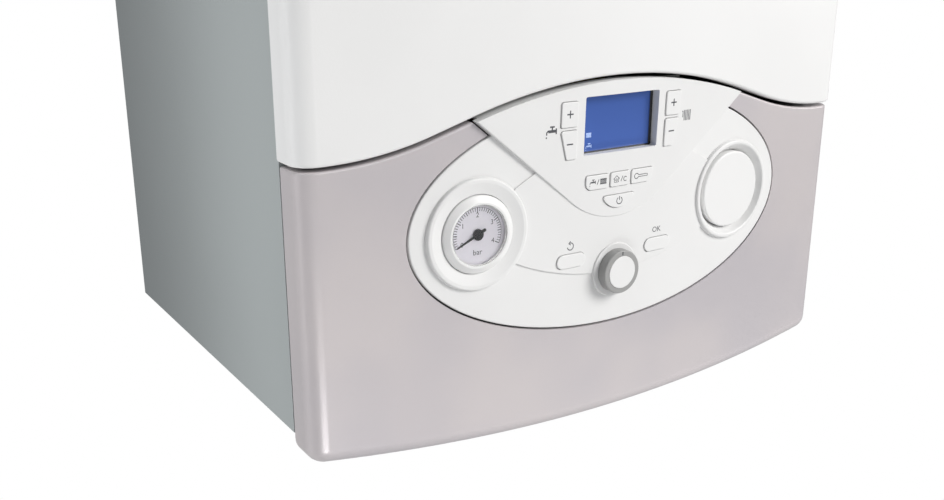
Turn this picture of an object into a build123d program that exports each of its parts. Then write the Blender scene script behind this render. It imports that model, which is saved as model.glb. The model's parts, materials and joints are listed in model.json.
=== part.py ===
from build123d import *
import math
import os

# Wall-hung gas combi boiler, in millimetres.
# X runs to the right, +Y into the wall, Z up. The wall is the plane y = 0, the casing is centred
# on x = 0, and z = 0 is the bottom edge of the side panels. The bowed front looks along -Y.

os.makedirs("parts", exist_ok=True)

# ------------------------------------------------------------------ driving dimensions
# Casing
CASE_W = 400.0          # over the side panels
CASE_H = 770.0          # side panels, bottom to top
CASE_D = 282.0          # wall to the seam between side panel and front
SHEET = 1.0             # painted steel sheet
FLANGE = 14.0           # return flanges of the sheet parts
FRAME_STANDOFF = 12.0   # wall to the rear frame plate, room for the wall bracket
SEAT = 0.2              # gap between fixed pieces that seat on each other

# Bowed front
BOW_RISE = 34.2         # crown of the front cover in front of the seam
BOW_R = 2050.0          # plan radius of the cover
FRONT_PROUD = 1.2       # cover outside the side panels, each side
CORNER_R = 13.0         # vertical corners
COVER_TOP_R = 10.0      # rounded top edge of the cover
COVER_BEND_R = 2.0      # bend of the return along the cover's lower edge
COVER_RETURN = 9.0      # how far that return reaches behind the skin
SEAM_GAP = 0.6          # shadow line between side panel and front

# Wavy split between cover and fascia
WAVE_Z = 188.2          # crest of the cover's lower edge
WAVE_CREST_R = 328.0
WAVE_TROUGH_R = 213.0
WAVE_SLOPE = 17.75      # degrees, where crest and trough arcs meet
WAVE_RUN = 26.5         # straight stretch between the arcs
WAVE_GAP = 2.4

# Fascia
FASCIA_INSET = 1.4      # fascia skin behind the cover's skin
FASCIA_WALL = 2.5
FASCIA_LOW_Z = -26.0    # bottom edge at the middle
FASCIA_END_Z = -12.8    # bottom edge at the sides
FASCIA_EDGE_R = 11.0    # rounded bottom edge, front and sides
FASCIA_LIP_R = 1.4      # rounded top edge

# Control panel, levels measured outwards from the fascia skin
OVAL_Z = 107.2
OVAL_HALF_W = 140.5
OVAL_HALF_H = 70.0
PANEL_GAP = 1.2         # shadow gap round the panel
PANEL_WALL = 2.5
BASE_LEVEL = 0.3
MIDDLE_LEVEL = 1.2
SHIELD_LEVEL = 1.7      # at the shield's lower tip
SHIELD_LEAN = 1.2       # degrees that the shield leans forward
SHIELD_LOW_Z = 104.0
SHIELD_R = 54.0
SHIELD_SLOPE = 39.5
MIDDLE_LOW_Z = 69.6
MIDDLE_END = (73.0, 86.0)
MIDDLE_SHOULDER = (73.0, 130.5)
PANEL_RIM_R = 0.9       # rounded edge of the oval
SHIELD_RIM_R = 0.7
MIDDLE_RIM_R = 0.35

# Crater rings for gauge and blank cap
RING_X = 98.0
RING_Z = 107.0
RING_OUTER_R = 32.6
RING_CREST_R = 30.8
RING_LEVEL = 2.6
GAUGE_R = 22.6
CAP_R = 24.9
CAP_LEVEL = 1.3
CAP_FOOT_LEVEL = -3.3
SNAP_GAP = 0.3          # round the gauge case and the cap
CREST_HALF_W = 1.2      # flat part of a ring's crest, before it is rounded
CREST_R = 1.3

# Gauge
BEZEL_RISE = 3.4
DIAL_R = 17.5
DIAL_LEVEL = 0.2
GAUGE_DEPTH = 24.0
LENS_T = 1.2
GAUGE_ZERO = 206.0      # degrees from +X, seen from the front
POINTER_LEN = 14.6
POINTER_HUB_R = 3.2

# Display
DISPLAY_W = 55.5
DISPLAY_H = 33.8
DISPLAY_Z = 160.8
DISPLAY_DEPTH = 2.8     # glass behind the fascia skin
DISPLAY_WELL = 1.2      # wall of the white well round the glass
DISPLAY_BORDER = (2.3, 1.1)  # black border of the glass, sides and top
DISPLAY_STEP = 0.3      # lit area behind the border

# Buttons and knob
BUTTON_GAP = 0.35
BUTTON_RISE = 0.9
BUTTON_TRAVEL = 1.0
BUTTON_FLANGE = 0.6
BUTTON_EDGE_R = 0.45
BOARD_Y = -CASE_D - 21.0  # front of the key board
BOARD_T = 1.6
SWITCH_H = 3.5
SWITCH_HALF = 3.0
KNOB_Z = 70.3
KNOB_R = 13.6
KNOB_H = 6.0
KNOB_CAP_R = 10.1
SKIRT_R = 17.0
SKIRT_LEVEL = 2.2
SKIRT_EDGE_R = 0.8
SHAFT_R = 3.0
SHAFT_HOLE_R = 4.2
RUNNING = 0.05          # radial clearance of a turning shaft

# Control box behind the fascia
HOUSING_HALF_W = 150.0
HOUSING_Z = (22.0, 142.0)
HOUSING_REAR_Y = -CASE_D + 73.0
HOUSING_WALL = 2.5
BACKING_GAP = 0.2
HINGE_Y = -CASE_D + 6.0
HINGE_Z = -2.0
HINGE_PIN_R = 3.0
HINGE_EYE_R = 5.5
EAR_T = 4.0
EAR_L = 16.0

# Flue
FLUE_Y = -165.0
FLUE_R = 30.1           # socket for the 60 mm flue pipe
AIR_R = 50.0            # outside of the 100 mm air collar
FLUE_WALL = 1.8
COLLAR_H = 40.0

# Combustion side
FLOOR_Z = 205.0
VESSEL_R = 155.0
VESSEL_T = 78.0
VESSEL_WALL = 1.5
VESSEL_Z = 500.0
EXCHANGER_R = 100.0
EXCHANGER_Z = 530.0
EXCHANGER_Y = (-CASE_D + 37.0, -102.0)
EXCHANGER_WALL = 12.0
DOOR_T = 10.0
FAN_X = -62.0
FAN_Z = 318.0
FAN_R = 66.0
FAN_Y = (-CASE_D - 6.0, -CASE_D + 52.0)
FAN_WALL = 4.0
IMPELLER_R = 52.0
FAN_EYE_R = 28.0
MOTOR_R = 34.0
MOTOR_L = 38.0

# Water side
BLOCK_X = (55.0, 175.0)
BLOCK_Y = (HOUSING_REAR_Y + 64.0, HOUSING_REAR_Y + 124.0)
BLOCK_Z = (12.0, 50.0)
PLATES_HALF_W = 88.0
PLATES_H = 74.0
PUMP_X = 142.0
PUMP_Y = (HOUSING_REAR_Y + 12.0, BLOCK_Y[1] - 10.0)
PUMP_R = 44.0
TAIL_Y = HOUSING_REAR_Y + 91.0
TAIL_PITCH = 65.0
TAIL_Z = -42.0
TAIL_R = 13.2           # three-quarter inch thread, outside
TAIL_SMALL_R = 10.4     # half inch thread, outside
TAIL_WALL = 3.0
PIPE_R = 9.0
SMALL_PIPE_R = 6.0

SEAM_Y = -CASE_D
BOW_D = CASE_D + BOW_RISE
BOW_CENTRE_Y = BOW_R - BOW_D
FRAME_Y = -FRAME_STANDOFF - SHEET
HALF_W = CASE_W / 2
INNER_HALF_W = HALF_W - SHEET - SEAT
SKIN_R = BOW_R - FASCIA_INSET
PANEL_LOW = BASE_LEVEL - PANEL_WALL


# ------------------------------------------------------------------ shared shapes
def slab(x, y, z, mode=Mode.ADD):
    """Box between two limits along each axis."""
    middle = tuple((low + high) / 2 for low, high in (x, y, z))
    with Locations(middle):
        Box(abs(x[1] - x[0]), abs(y[1] - y[0]), abs(z[1] - z[0]), mode=mode)


def front_plane(y):
    """Plane parallel to the wall at y, seen from the front: extrusions go forward."""
    return Plane.XZ.offset(-y)


def rod(radius, x, z, y_rear, y_front, mode=Mode.ADD):
    """Round bar along Y between two depths."""
    with Locations((x, (y_rear + y_front) / 2, z)):
        Cylinder(radius, abs(y_rear - y_front), rotation=(90, 0, 0), mode=mode)


def post(radius, x, y, z_low, z_high, mode=Mode.ADD):
    """Upright round bar."""
    with Locations((x, y, (z_low + z_high) / 2)):
        Cylinder(radius, z_high - z_low, mode=mode)


def on_arc(centre, radius, degrees):
    """Point on a circle."""
    turn = math.radians(degrees)
    return (centre[0] + radius * math.cos(turn), centre[1] + radius * math.sin(turn))


def sweep_arc(centre, radius, start, end):
    """Arc of a circle between two angles, through its middle."""
    middle = (start + end) / 2
    ThreePointArc(*(on_arc(centre, radius, a) for a in (start, middle, end)))


def bowed_block(inset, rear_y, z_low, z_high, top_r=0.0):
    """Block with the plan of the bowed front, drawn inside its outer skin by an inset."""
    half = HALF_W + FRONT_PROUD - inset
    radius = BOW_R - inset
    edge_y = BOW_CENTRE_Y - math.sqrt(radius**2 - half**2)
    with BuildPart() as block:
        with BuildSketch(Plane.XY.offset(z_low)):
            with BuildLine():
                Polyline((-half, edge_y), (-half, rear_y), (half, rear_y), (half, edge_y))
                ThreePointArc((half, edge_y), (0, BOW_CENTRE_Y - radius), (-half, edge_y))
            make_face()
            fillet(vertices().group_by(Axis.Y)[0], radius=CORNER_R - inset)
        extrude(amount=z_high - z_low)
        if top_r:
            rim = block.faces().sort_by(Axis.Z)[-1].edges().sort_by(Axis.Y)[:-1]
            fillet(rim, radius=top_r)
    return block.part


def wave_edge(drop, half):
    """Wavy split line from left to right, lowered square to itself by a drop."""
    slope = math.radians(WAVE_SLOPE)
    crest = (0, WAVE_Z - WAVE_CREST_R)
    reach = WAVE_CREST_R * math.sin(slope) + WAVE_RUN * math.cos(slope)
    fall = WAVE_CREST_R * math.cos(slope) - WAVE_RUN * math.sin(slope)
    trough_x = reach + WAVE_TROUGH_R * math.sin(slope)
    trough_z = crest[1] + fall + WAVE_TROUGH_R * math.cos(slope)
    crest_r = WAVE_CREST_R - drop
    trough_r = WAVE_TROUGH_R + drop
    low = trough_z - trough_r
    Line((-half, low), (-trough_x, low))
    sweep_arc((-trough_x, trough_z), trough_r, 270, 270 + WAVE_SLOPE)
    Line(
        on_arc((-trough_x, trough_z), trough_r, 270 + WAVE_SLOPE),
        on_arc(crest, crest_r, 90 + WAVE_SLOPE),
    )
    sweep_arc(crest, crest_r, 90 + WAVE_SLOPE, 90 - WAVE_SLOPE)
    Line(
        on_arc(crest, crest_r, 90 - WAVE_SLOPE),
        on_arc((trough_x, trough_z), trough_r, 270 - WAVE_SLOPE),
    )
    sweep_arc((trough_x, trough_z), trough_r, 270 - WAVE_SLOPE, 270)
    Line((trough_x, low), (half, low))
    return low


def below_wave(drop):
    """Front view of everything under the wavy split."""
    half = HALF_W + FLANGE
    with BuildSketch(Plane.XZ) as region:
        with BuildLine():
            low = wave_edge(drop, half)
            Polyline((half, low), (half, -CASE_W), (-half, -CASE_W), (-half, low))
        make_face()
    return region.sketch


def fascia_front(inset):
    """Front view of the fascia, drawn inside its outline by an inset."""
    half = HALF_W + FRONT_PROUD - FASCIA_INSET - inset
    with BuildSketch(Plane.XZ) as region:
        with BuildLine():
            top = wave_edge(WAVE_GAP + inset, half)
            end = FASCIA_END_Z + inset
            Line((half, top), (half, end))
            ThreePointArc((half, end), (0, FASCIA_LOW_Z + inset), (-half, end))
            Line((-half, end), (-half, top))
        make_face()
    return region.sketch


def shield_front(grow):
    """Front view of the shield, open upwards, grown by a gap."""
    centre = (0, SHIELD_LOW_Z + SHIELD_R)
    radius = SHIELD_R + grow
    slope = math.radians(SHIELD_SLOPE)
    foot = on_arc(centre, radius, 270 + SHIELD_SLOPE)
    run = HALF_W - FLANGE
    head = (foot[0] + run * math.cos(slope), foot[1] + run * math.sin(slope))
    with BuildSketch(Plane.XZ) as region:
        with BuildLine():
            sweep_arc(centre, radius, 270 - SHIELD_SLOPE, 270 + SHIELD_SLOPE)
            Polyline(foot, head, (-head[0], head[1]), (-foot[0], foot[1]))
        make_face()
    return region.sketch


def panel_front(grow):
    """Front view of the control panel: the oval with the shield rising out of it."""
    with BuildSketch(Plane.XZ) as region:
        with Locations((0, OVAL_Z)):
            Ellipse(OVAL_HALF_W + grow, OVAL_HALF_H + grow)
        add(shield_front(grow))
    return region.sketch


def bowed_zone(outline, low, high, lean=0.0, rim_r=0.0):
    """Plate that follows the fascia skin between two levels, cut to a front view."""
    tilt = math.radians(lean)
    start = Vector(0, 0, SHIELD_LOW_Z)
    up = Vector(0, -math.sin(tilt), math.cos(tilt))
    with BuildPart() as zone:
        extrude(outline, amount=BOW_D + CASE_D)
        plan = Plane(origin=start - up * CASE_D, x_dir=(1, 0, 0), z_dir=up)
        shift = SKIN_R - (SKIN_R - BOW_CENTRE_Y) * math.cos(tilt)
        with BuildSketch(plan):
            with BuildLine():
                ends = []
                for level in (low, high):
                    radius = SKIN_R + level
                    side = math.sqrt(radius**2 - HALF_W**2)
                    ends.append((HALF_W, shift - side))
                    ThreePointArc((-HALF_W, shift - side), (0, shift - radius), ends[-1])
                Line(ends[0], ends[1])
                Line((-ends[0][0], ends[0][1]), (-ends[1][0], ends[1][1]))
            make_face()
        extrude(amount=2 * CASE_D, mode=Mode.INTERSECT)
        if rim_r:
            fillet(zone.faces().sort_by(Axis.Y)[0].edges(), radius=rim_r)
    return zone.part


def skin_plane(x, z, level=0.0):
    """Plane on the bowed skin at x, z, looking out along the skin's normal."""
    turn = math.asin(x / SKIN_R)
    out = Vector(math.sin(turn), -math.cos(turn), 0)
    along = Vector(math.cos(turn), math.sin(turn), 0)
    origin = Vector(0, BOW_CENTRE_Y, z) + out * (SKIN_R + level)
    return Plane(origin=origin, x_dir=along, z_dir=out)


def turned(plane, profile, radii=0.0):
    """Solid of revolution about a plane's normal, from (radius, level) points."""
    section = Plane(origin=plane.origin, x_dir=plane.x_dir, z_dir=-plane.y_dir)
    with BuildPart() as solid:
        with BuildSketch(section):
            with BuildLine():
                FilletPolyline(*profile, radius=radii, close=True)
            make_face()
        revolve(axis=Axis(plane.origin, plane.z_dir))
    return solid.part


def bent_pipe(points, radius, bend):
    """Round pipe along straight runs and bends."""
    with BuildPart() as pipe:
        with BuildLine() as route:
            FilletPolyline(*points, radius=bend)
        with BuildSketch(Plane(origin=route.line @ 0, z_dir=route.line % 0)):
            Circle(radius)
        sweep(path=route.line)
    return pipe.part


def save(part, name):
    """Label a finished piece and write it."""
    part.label = name
    export_step(part, f"parts/{name}.step")


# ------------------------------------------------------------------ casing sheet metal
def side_panel():
    """Folded side panel: outer skin with a front and a rear return flange."""
    skin = (HALF_W - SHEET, HALF_W)
    with BuildPart() as panel:
        slab(skin, (SEAM_Y, 0), (0, CASE_H))
        slab((HALF_W - FLANGE, HALF_W), (SEAM_Y, SEAM_Y + SHEET), (0, CASE_H))
        slab((HALF_W - FLANGE, HALF_W), (-SHEET, 0), (0, CASE_H))
    return panel.part


right_panel = side_panel()
save(right_panel, "side_panel_right")
save(mirror(right_panel, about=Plane.YZ), "side_panel_left")

RAIL_HALF_W = 150.0
RAIL_Z = (0.0, 32.0)
HOOK_HALF_W = 140.0
BRACKET_TOP_Z = CASE_H - 35.0
BRACKET_H = 42.0
BRACKET_T = 2.0
LIP_Y = -8.0
LIP_H = 8.0
RAIL_SIDE_W = 12.0

with BuildPart() as rear_frame:
    slab((-INNER_HALF_W, INNER_HALF_W), (FRAME_Y, FRAME_Y + SHEET), (SEAT, CASE_H - SHEET - SEAT))
    for side in (-1, 1):
        edge = sorted((side * INNER_HALF_W, side * (INNER_HALF_W - SHEET)))
        slab(edge, (FRAME_Y, -SHEET - SEAT), (SEAT, CASE_H - SHEET - SEAT))
    # lower rail that stands on the wall
    slab((-RAIL_HALF_W, RAIL_HALF_W), (FRAME_Y + SHEET, 0), RAIL_Z)
    slab(
        (-RAIL_HALF_W + SHEET, RAIL_HALF_W - SHEET),
        (FRAME_Y + SHEET, -SHEET),
        (RAIL_Z[0] + SHEET, RAIL_Z[1] - SHEET),
        mode=Mode.SUBTRACT,
    )
    # hook that drops over the wall bracket's lip
    shelf = BRACKET_TOP_Z + LIP_H + SEAT
    hook_y = LIP_Y + BRACKET_T + SHEET
    slab((-HOOK_HALF_W, HOOK_HALF_W), (FRAME_Y, hook_y + SHEET), (shelf, shelf + SHEET))
    slab(
        (-HOOK_HALF_W, HOOK_HALF_W),
        (hook_y, hook_y + SHEET),
        (shelf - LIP_H / 2, shelf + SHEET),
    )
save(rear_frame.part, "rear_frame")

BRACKET_HALF_W = 155.0
BRACKET_HOLE_X = 125.0
BRACKET_HOLE_R = 4.5
BRACKET_HOLE_Z = BRACKET_TOP_Z - 23.0
with BuildPart() as wall_bracket:
    slab(
        (-BRACKET_HALF_W, BRACKET_HALF_W),
        (-BRACKET_T, 0),
        (BRACKET_TOP_Z - BRACKET_H, BRACKET_TOP_Z),
    )
    lip_x = (-HOOK_HALF_W + FLANGE, HOOK_HALF_W - FLANGE)
    slab(lip_x, (LIP_Y, 0), (BRACKET_TOP_Z - BRACKET_T, BRACKET_TOP_Z))
    slab(lip_x, (LIP_Y, LIP_Y + BRACKET_T / 2), (BRACKET_TOP_Z - BRACKET_T, BRACKET_TOP_Z + LIP_H))
    for side in (-1, 1):
        rod(BRACKET_HOLE_R, side * BRACKET_HOLE_X, BRACKET_HOLE_Z, 0, -BRACKET_T, Mode.SUBTRACT)
save(wall_bracket.part, "wall_bracket")

# The cover hangs in two slots at the front of the top panel
HANG_X = 120.0
HANG_W = 24.0
HANG_Y = SEAM_Y + 16.5
HANG_SLOT = 5.0
TOP_Z = (CASE_H - SHEET, CASE_H)
with BuildPart() as top_panel:
    slab((-INNER_HALF_W, INNER_HALF_W), (SEAM_Y + SHEET + SEAT, -SHEET - SEAT), TOP_Z)
    slab(
        (-INNER_HALF_W + FLANGE, INNER_HALF_W - FLANGE),
        (SEAM_Y + SHEET + SEAT, SEAM_Y + 2 * SHEET + SEAT),
        (CASE_H - FLANGE, CASE_H),
    )
    post(AIR_R, 0, FLUE_Y, TOP_Z[0], TOP_Z[1], Mode.SUBTRACT)
    for side in (-1, 1):
        span = sorted((side * (HANG_X - SHEET), side * (HANG_X + HANG_W + SHEET)))
        slab(span, (HANG_Y - HANG_SLOT, HANG_Y + HANG_SLOT), TOP_Z, mode=Mode.SUBTRACT)
save(top_panel.part, "top_panel")

TAILS = {"heating_flow": -2, "hot_water": -1, "gas": 0, "cold_water": 1, "heating_return": 2}
PLATE_FRONT_Y = HINGE_Y + 11.0
TRAP_X = -45.0
TRAP_Y = HOUSING_REAR_Y + 33.0
TRAP_R = 23.0
RELIEF_Y = BLOCK_Y[0] - SEAT
RELIEF_X = 156.0
RELIEF_DRAIN = 14.0
FILL_X = 97.0
HOLE_GAP = 2.0
with BuildPart() as bottom_plate:
    slab((-INNER_HALF_W, INNER_HALF_W), (PLATE_FRONT_Y, FRAME_Y - SEAT), (0, SHEET))
    slab(
        (-INNER_HALF_W + FLANGE, INNER_HALF_W - FLANGE),
        (PLATE_FRONT_Y, PLATE_FRONT_Y + SHEET),
        (0, FLANGE),
    )
    for place in TAILS.values():
        post(TAIL_R + HOLE_GAP, place * TAIL_PITCH, TAIL_Y, 0, SHEET, Mode.SUBTRACT)
    post(TRAP_R + HOLE_GAP, TRAP_X, TRAP_Y, 0, SHEET, Mode.SUBTRACT)
    post(SMALL_PIPE_R + HOLE_GAP, RELIEF_X, RELIEF_Y - RELIEF_DRAIN, 0, SHEET, Mode.SUBTRACT)
    post(SMALL_PIPE_R + HOLE_GAP, FILL_X, TAIL_Y, 0, SHEET, Mode.SUBTRACT)
save(bottom_plate.part, "bottom_plate")

HOSE_R = 8.0
GAS_FEED_Y = -170.0
RISER_X = 160.0
FLOW_RISER_Y = BLOCK_Y[0] + 5.0
PUMP_RISER_Y = PUMP_Y[1] - 15.0
VESSEL_PIPE_Y = -52.0
with BuildPart() as chamber_floor:
    floor_y = (SEAM_Y + 2 * SHEET + 2 * SEAT, FRAME_Y - SEAT)
    slab((-INNER_HALF_W, INNER_HALF_W), floor_y, (FLOOR_Z, FLOOR_Z + SHEET))
    slab(
        (-INNER_HALF_W + FLANGE, INNER_HALF_W - FLANGE),
        (floor_y[0], floor_y[0] + SHEET),
        (FLOOR_Z, FLOOR_Z + FLANGE),
    )
    for x, y, radius in (
        (0, GAS_FEED_Y, PIPE_R - 1),
        (-RISER_X, FLOW_RISER_Y, PIPE_R),
        (PUMP_X, PUMP_RISER_Y, PIPE_R),
        (TRAP_X, TRAP_Y, HOSE_R),
    ):
        post(radius + SEAT, x, y, FLOOR_Z, FLOOR_Z + SHEET, Mode.SUBTRACT)
save(chamber_floor.part, "chamber_floor")

# Fixed lugs under the bottom plate carry the pins that the control box tilts on
LUG_T = 3.0
LUG_PLAY = 0.5
LUG_Y = HINGE_Y + 36.0
EAR_X = (HOUSING_HALF_W - EAR_T, HOUSING_HALF_W)
LUG_X = (HOUSING_HALF_W + LUG_PLAY, HOUSING_HALF_W + LUG_PLAY + LUG_T)


def hinge_plate(x, reach):
    """Plate square to X with an eye round the hinge line, reaching to some y, z points."""
    with BuildPart() as plate:
        with BuildSketch(Plane.YZ.offset(x[0])):
            with Locations((HINGE_Y, HINGE_Z)):
                Circle(HINGE_EYE_R)
            with BuildLine():
                Polyline(*reach, close=True)
            make_hull()
        extrude(amount=x[1] - x[0])
    return plate.part


with BuildPart() as hinge_lugs:
    lug_reach = [(LUG_Y, 0), (LUG_Y, HINGE_Z), (PLATE_FRONT_Y, HINGE_Z), (PLATE_FRONT_Y, 0)]
    add(hinge_plate(LUG_X, lug_reach))
    slab(LUG_X, (HINGE_Y - HINGE_EYE_R, LUG_Y), (0, 2 * HINGE_EYE_R), mode=Mode.SUBTRACT)
    with BuildSketch(Plane.YZ.offset(EAR_X[0] - 1)):
        with Locations((HINGE_Y, HINGE_Z)):
            Circle(HINGE_PIN_R)
    extrude(amount=LUG_X[1] - EAR_X[0] + 1)
    mirror(about=Plane.YZ)
save(hinge_lugs.part, "hinge_lugs")

# ------------------------------------------------------------------ front cover
def outer_rim(block, faces, rear_y, half):
    """Edges of some faces that lie on a block's outside, without those at its rear."""
    rim = []
    for face in faces:
        for edge in face.edges():
            middle = edge @ 0.5
            along_y = abs((edge % 0.5).Y) > 0.99
            if middle.Y < rear_y - 0.1 and (abs(middle.X) > half - 0.1 or not along_y):
                rim.append(edge)
    return rim


with BuildPart() as cover_block:
    add(bowed_block(0, SEAM_Y - SEAM_GAP, 0, CASE_H, top_r=COVER_TOP_R))
    extrude(below_wave(0), amount=BOW_D + CASE_D, mode=Mode.SUBTRACT)
    low_faces = [face for face in cover_block.faces() if face.normal_at().Z < -0.9]
    fillet(
        outer_rim(cover_block, low_faces, SEAM_Y - SEAM_GAP, HALF_W + FRONT_PROUD),
        radius=COVER_BEND_R,
    )
with BuildPart() as cover_core:
    add(bowed_block(SHEET, SEAM_Y + FLANGE, 0, CASE_H - SHEET, top_r=COVER_TOP_R - SHEET))
    extrude(below_wave(-SHEET), amount=BOW_D + CASE_D, mode=Mode.SUBTRACT)

tongue_tip = HANG_Y + SHEET / 2
TONGUE_REACH = 8.0      # how far the tongues run forward over the cover's top
TONGUE_DROP = 5.0       # how far they reach down into the slots
BEAD_R = 2.0
with BuildPart() as front_cover:
    add(cover_block.part)
    add(cover_core.part, mode=Mode.SUBTRACT)
    add(bowed_block(COVER_RETURN, SEAM_Y + FLANGE, 0, CASE_H / 2), mode=Mode.SUBTRACT)
    for side in (-1, 1):
        span = sorted((side * HANG_X, side * (HANG_X + HANG_W)))
        slab(span, (SEAM_Y - TONGUE_REACH, tongue_tip), (CASE_H, CASE_H + SHEET))
        slab(span, (tongue_tip - SHEET, tongue_tip), (CASE_H - TONGUE_DROP, CASE_H + SHEET))
        # rolled edge that the cover swings on
        with BuildSketch(Plane.YZ.offset(span[0])):
            with Locations((HANG_Y, CASE_H)):
                Circle(BEAD_R)
        extrude(amount=HANG_W)
save(front_cover.part, "front_cover")

# ------------------------------------------------------------------ fascia
REACH = (FASCIA_LOW_Z - FLANGE, WAVE_Z + FLANGE)


def fascia_block(inset, rear_y):
    """Bowed block cut to the fascia's front view, with its bottom edge rounded."""
    with BuildPart() as block:
        add(bowed_block(FASCIA_INSET + inset, rear_y, *REACH))
        extrude(fascia_front(inset), amount=BOW_D + CASE_D, mode=Mode.INTERSECT)
        rim = block.faces().sort_by(Axis.Z)[0].edges().sort_by(Axis.Y)[:-1]
        fillet(rim, radius=FASCIA_EDGE_R - inset)
        if not inset:
            half = HALF_W + FRONT_PROUD - FASCIA_INSET
            top_faces = [face for face in block.faces() if face.normal_at().Z > 0.9]
            fillet(outer_rim(block, top_faces, rear_y, half), radius=FASCIA_LIP_R)
    return block.part


with BuildPart() as fascia:
    add(fascia_block(0, SEAM_Y - SEAM_GAP))
    add(fascia_block(FASCIA_WALL, SEAM_Y + FLANGE), mode=Mode.SUBTRACT)
    extrude(panel_front(PANEL_GAP), amount=BOW_D + CASE_D, mode=Mode.SUBTRACT)
save(fascia.part, "fascia")

# ------------------------------------------------------------------ buttons, front views
PLUS_X = (33.4, 45.0)
PLUS_Z = (161.6, 176.0)
MINUS_Z = (142.8, 159.6)
MINUS_TAPER = 4.5
KEY_Z = (122.8, 131.4)
KEY_X = (9.0, 25.6)
COMFORT_HALF_W = 7.2
KEY_CORNER_R = 4.5
KEY_R = 1.2
POWER_HALF_W = 12.6
POWER_Z = (109.6, 117.6)
PILL_X = 33.8
PILL_Z = 81.3
PILL_W = 21.0
PILL_H = 8.4


def polygon_key(points, radii):
    """Button outline from corner points, each with its own corner radius."""
    with BuildSketch(Plane.XZ) as key:
        with BuildLine():
            FilletPolyline(*points, radius=radii, close=True)
        make_face()
    return key.sketch


def plus_key(side):
    x_in, x_out = side * PLUS_X[0], side * PLUS_X[1]
    corners = [(x_in, PLUS_Z[0]), (x_out, PLUS_Z[0]), (x_out, PLUS_Z[1]), (x_in, PLUS_Z[1])]
    return polygon_key(corners, KEY_R)


def minus_key(side):
    x_in, x_out = side * PLUS_X[0], side * PLUS_X[1]
    x_low = side * (PLUS_X[1] - MINUS_TAPER)
    corners = [(x_in, MINUS_Z[0]), (x_low, MINUS_Z[0]), (x_out, MINUS_Z[1]), (x_in, MINUS_Z[1])]
    return polygon_key(corners, KEY_R)


def corner_key(side):
    x_in, x_out = side * KEY_X[0], side * KEY_X[1]
    corners = [(x_in, KEY_Z[0]), (x_out, KEY_Z[0]), (x_out, KEY_Z[1]), (x_in, KEY_Z[1])]
    return polygon_key(corners, [KEY_R, KEY_CORNER_R, KEY_R, KEY_R])


def comfort_key():
    half = COMFORT_HALF_W
    corners = [(-half, KEY_Z[0]), (half, KEY_Z[0]), (half, KEY_Z[1]), (-half, KEY_Z[1])]
    return polygon_key(corners, KEY_R)


def power_key():
    """Half oval: flat on top, round below like the shield's tip."""
    with BuildSketch(Plane.XZ) as key:
        with BuildLine():
            Line((-POWER_HALF_W, POWER_Z[1]), (POWER_HALF_W, POWER_Z[1]))
            ThreePointArc((POWER_HALF_W, POWER_Z[1]), (0, POWER_Z[0]), (-POWER_HALF_W, POWER_Z[1]))
        make_face()
        fillet(vertices(), radius=KEY_R)
    return key.sketch


def pill_key(side):
    with BuildSketch(Plane.XZ) as key:
        with Locations((side * PILL_X, PILL_Z)):
            SlotOverall(PILL_W, PILL_H)
    return key.sketch


# name: outline, stem x, stem z, whether it sits on the leaning shield
BUTTONS = {
    "button_hot_water_plus": (plus_key(-1), -39.2, 168.8, True),
    "button_hot_water_minus": (minus_key(-1), -38.6, 151.2, True),
    "button_heating_plus": (plus_key(1), 39.2, 168.8, True),
    "button_heating_minus": (minus_key(1), 38.6, 151.2, True),
    "button_mode": (corner_key(-1), -17.0, 127.1, True),
    "button_comfort": (comfort_key(), 0.0, 127.1, True),
    "button_menu": (corner_key(1), 17.0, 127.1, True),
    "button_power": (power_key(), 0.0, 114.2, True),
    "button_back": (pill_key(-1), -PILL_X, PILL_Z, False),
    "button_ok": (pill_key(1), PILL_X, PILL_Z, False),
}
STEM_R = 2.0
SWITCH_Y = BOARD_Y - SWITCH_H
STEM_END_Y = SWITCH_Y - BUTTON_TRAVEL - SEAT


def grown(outline, amount):
    """Front view grown or shrunk all round."""
    with BuildSketch(Plane.XZ) as result:
        offset(outline, amount=amount)
    return result.sketch


for name, (outline, stem_x, stem_z, leaning) in BUTTONS.items():
    level = SHIELD_LEVEL if leaning else MIDDLE_LEVEL
    lean = SHIELD_LEAN if leaning else 0.0
    collar_top = PANEL_LOW - SEAT
    collar_low = collar_top - BUTTON_FLANGE
    with BuildPart() as button:
        front = level + BUTTON_RISE
        add(bowed_zone(outline, PANEL_LOW - PANEL_WALL, front, lean, BUTTON_EDGE_R))
        add(bowed_zone(outline, collar_low, collar_top))
        add(bowed_zone(grown(outline, BUTTON_FLANGE), collar_low, collar_top))
        rod(STEM_R, stem_x, stem_z, STEM_END_Y, -BOW_D + FASCIA_INSET - collar_top)
    save(button.part, name)

# ------------------------------------------------------------------ control panel
gauge_plane = skin_plane(-RING_X, RING_Z)
cap_plane = skin_plane(RING_X, RING_Z)
knob_plane = skin_plane(0, KNOB_Z)
GAUGE_BORE_R = GAUGE_R + SNAP_GAP
CAP_BORE_R = CAP_R + SNAP_GAP
RIM_R = 0.3
skin_front_y = -BOW_D + FASCIA_INSET
GLASS_Y = skin_front_y + DISPLAY_DEPTH

with BuildSketch(Plane.XZ) as middle_front:
    join = on_arc((0, SHIELD_LOW_Z + SHIELD_R), SHIELD_R, 270 + SHIELD_SLOPE)
    slope = math.radians(SHIELD_SLOPE)
    JUNCTION_X = 60.0
    junction = (JUNCTION_X, join[1] + (JUNCTION_X - join[0]) * math.tan(slope))
    with BuildLine():
        right = [junction, MIDDLE_SHOULDER, (RING_X, RING_Z), MIDDLE_END]
        Polyline(*right)
        ThreePointArc(MIDDLE_END, (0, MIDDLE_LOW_Z), (-MIDDLE_END[0], MIDDLE_END[1]))
        Polyline(*[(-x, z) for x, z in right])
        Line(junction, (-junction[0], junction[1]))
    make_face()

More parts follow.
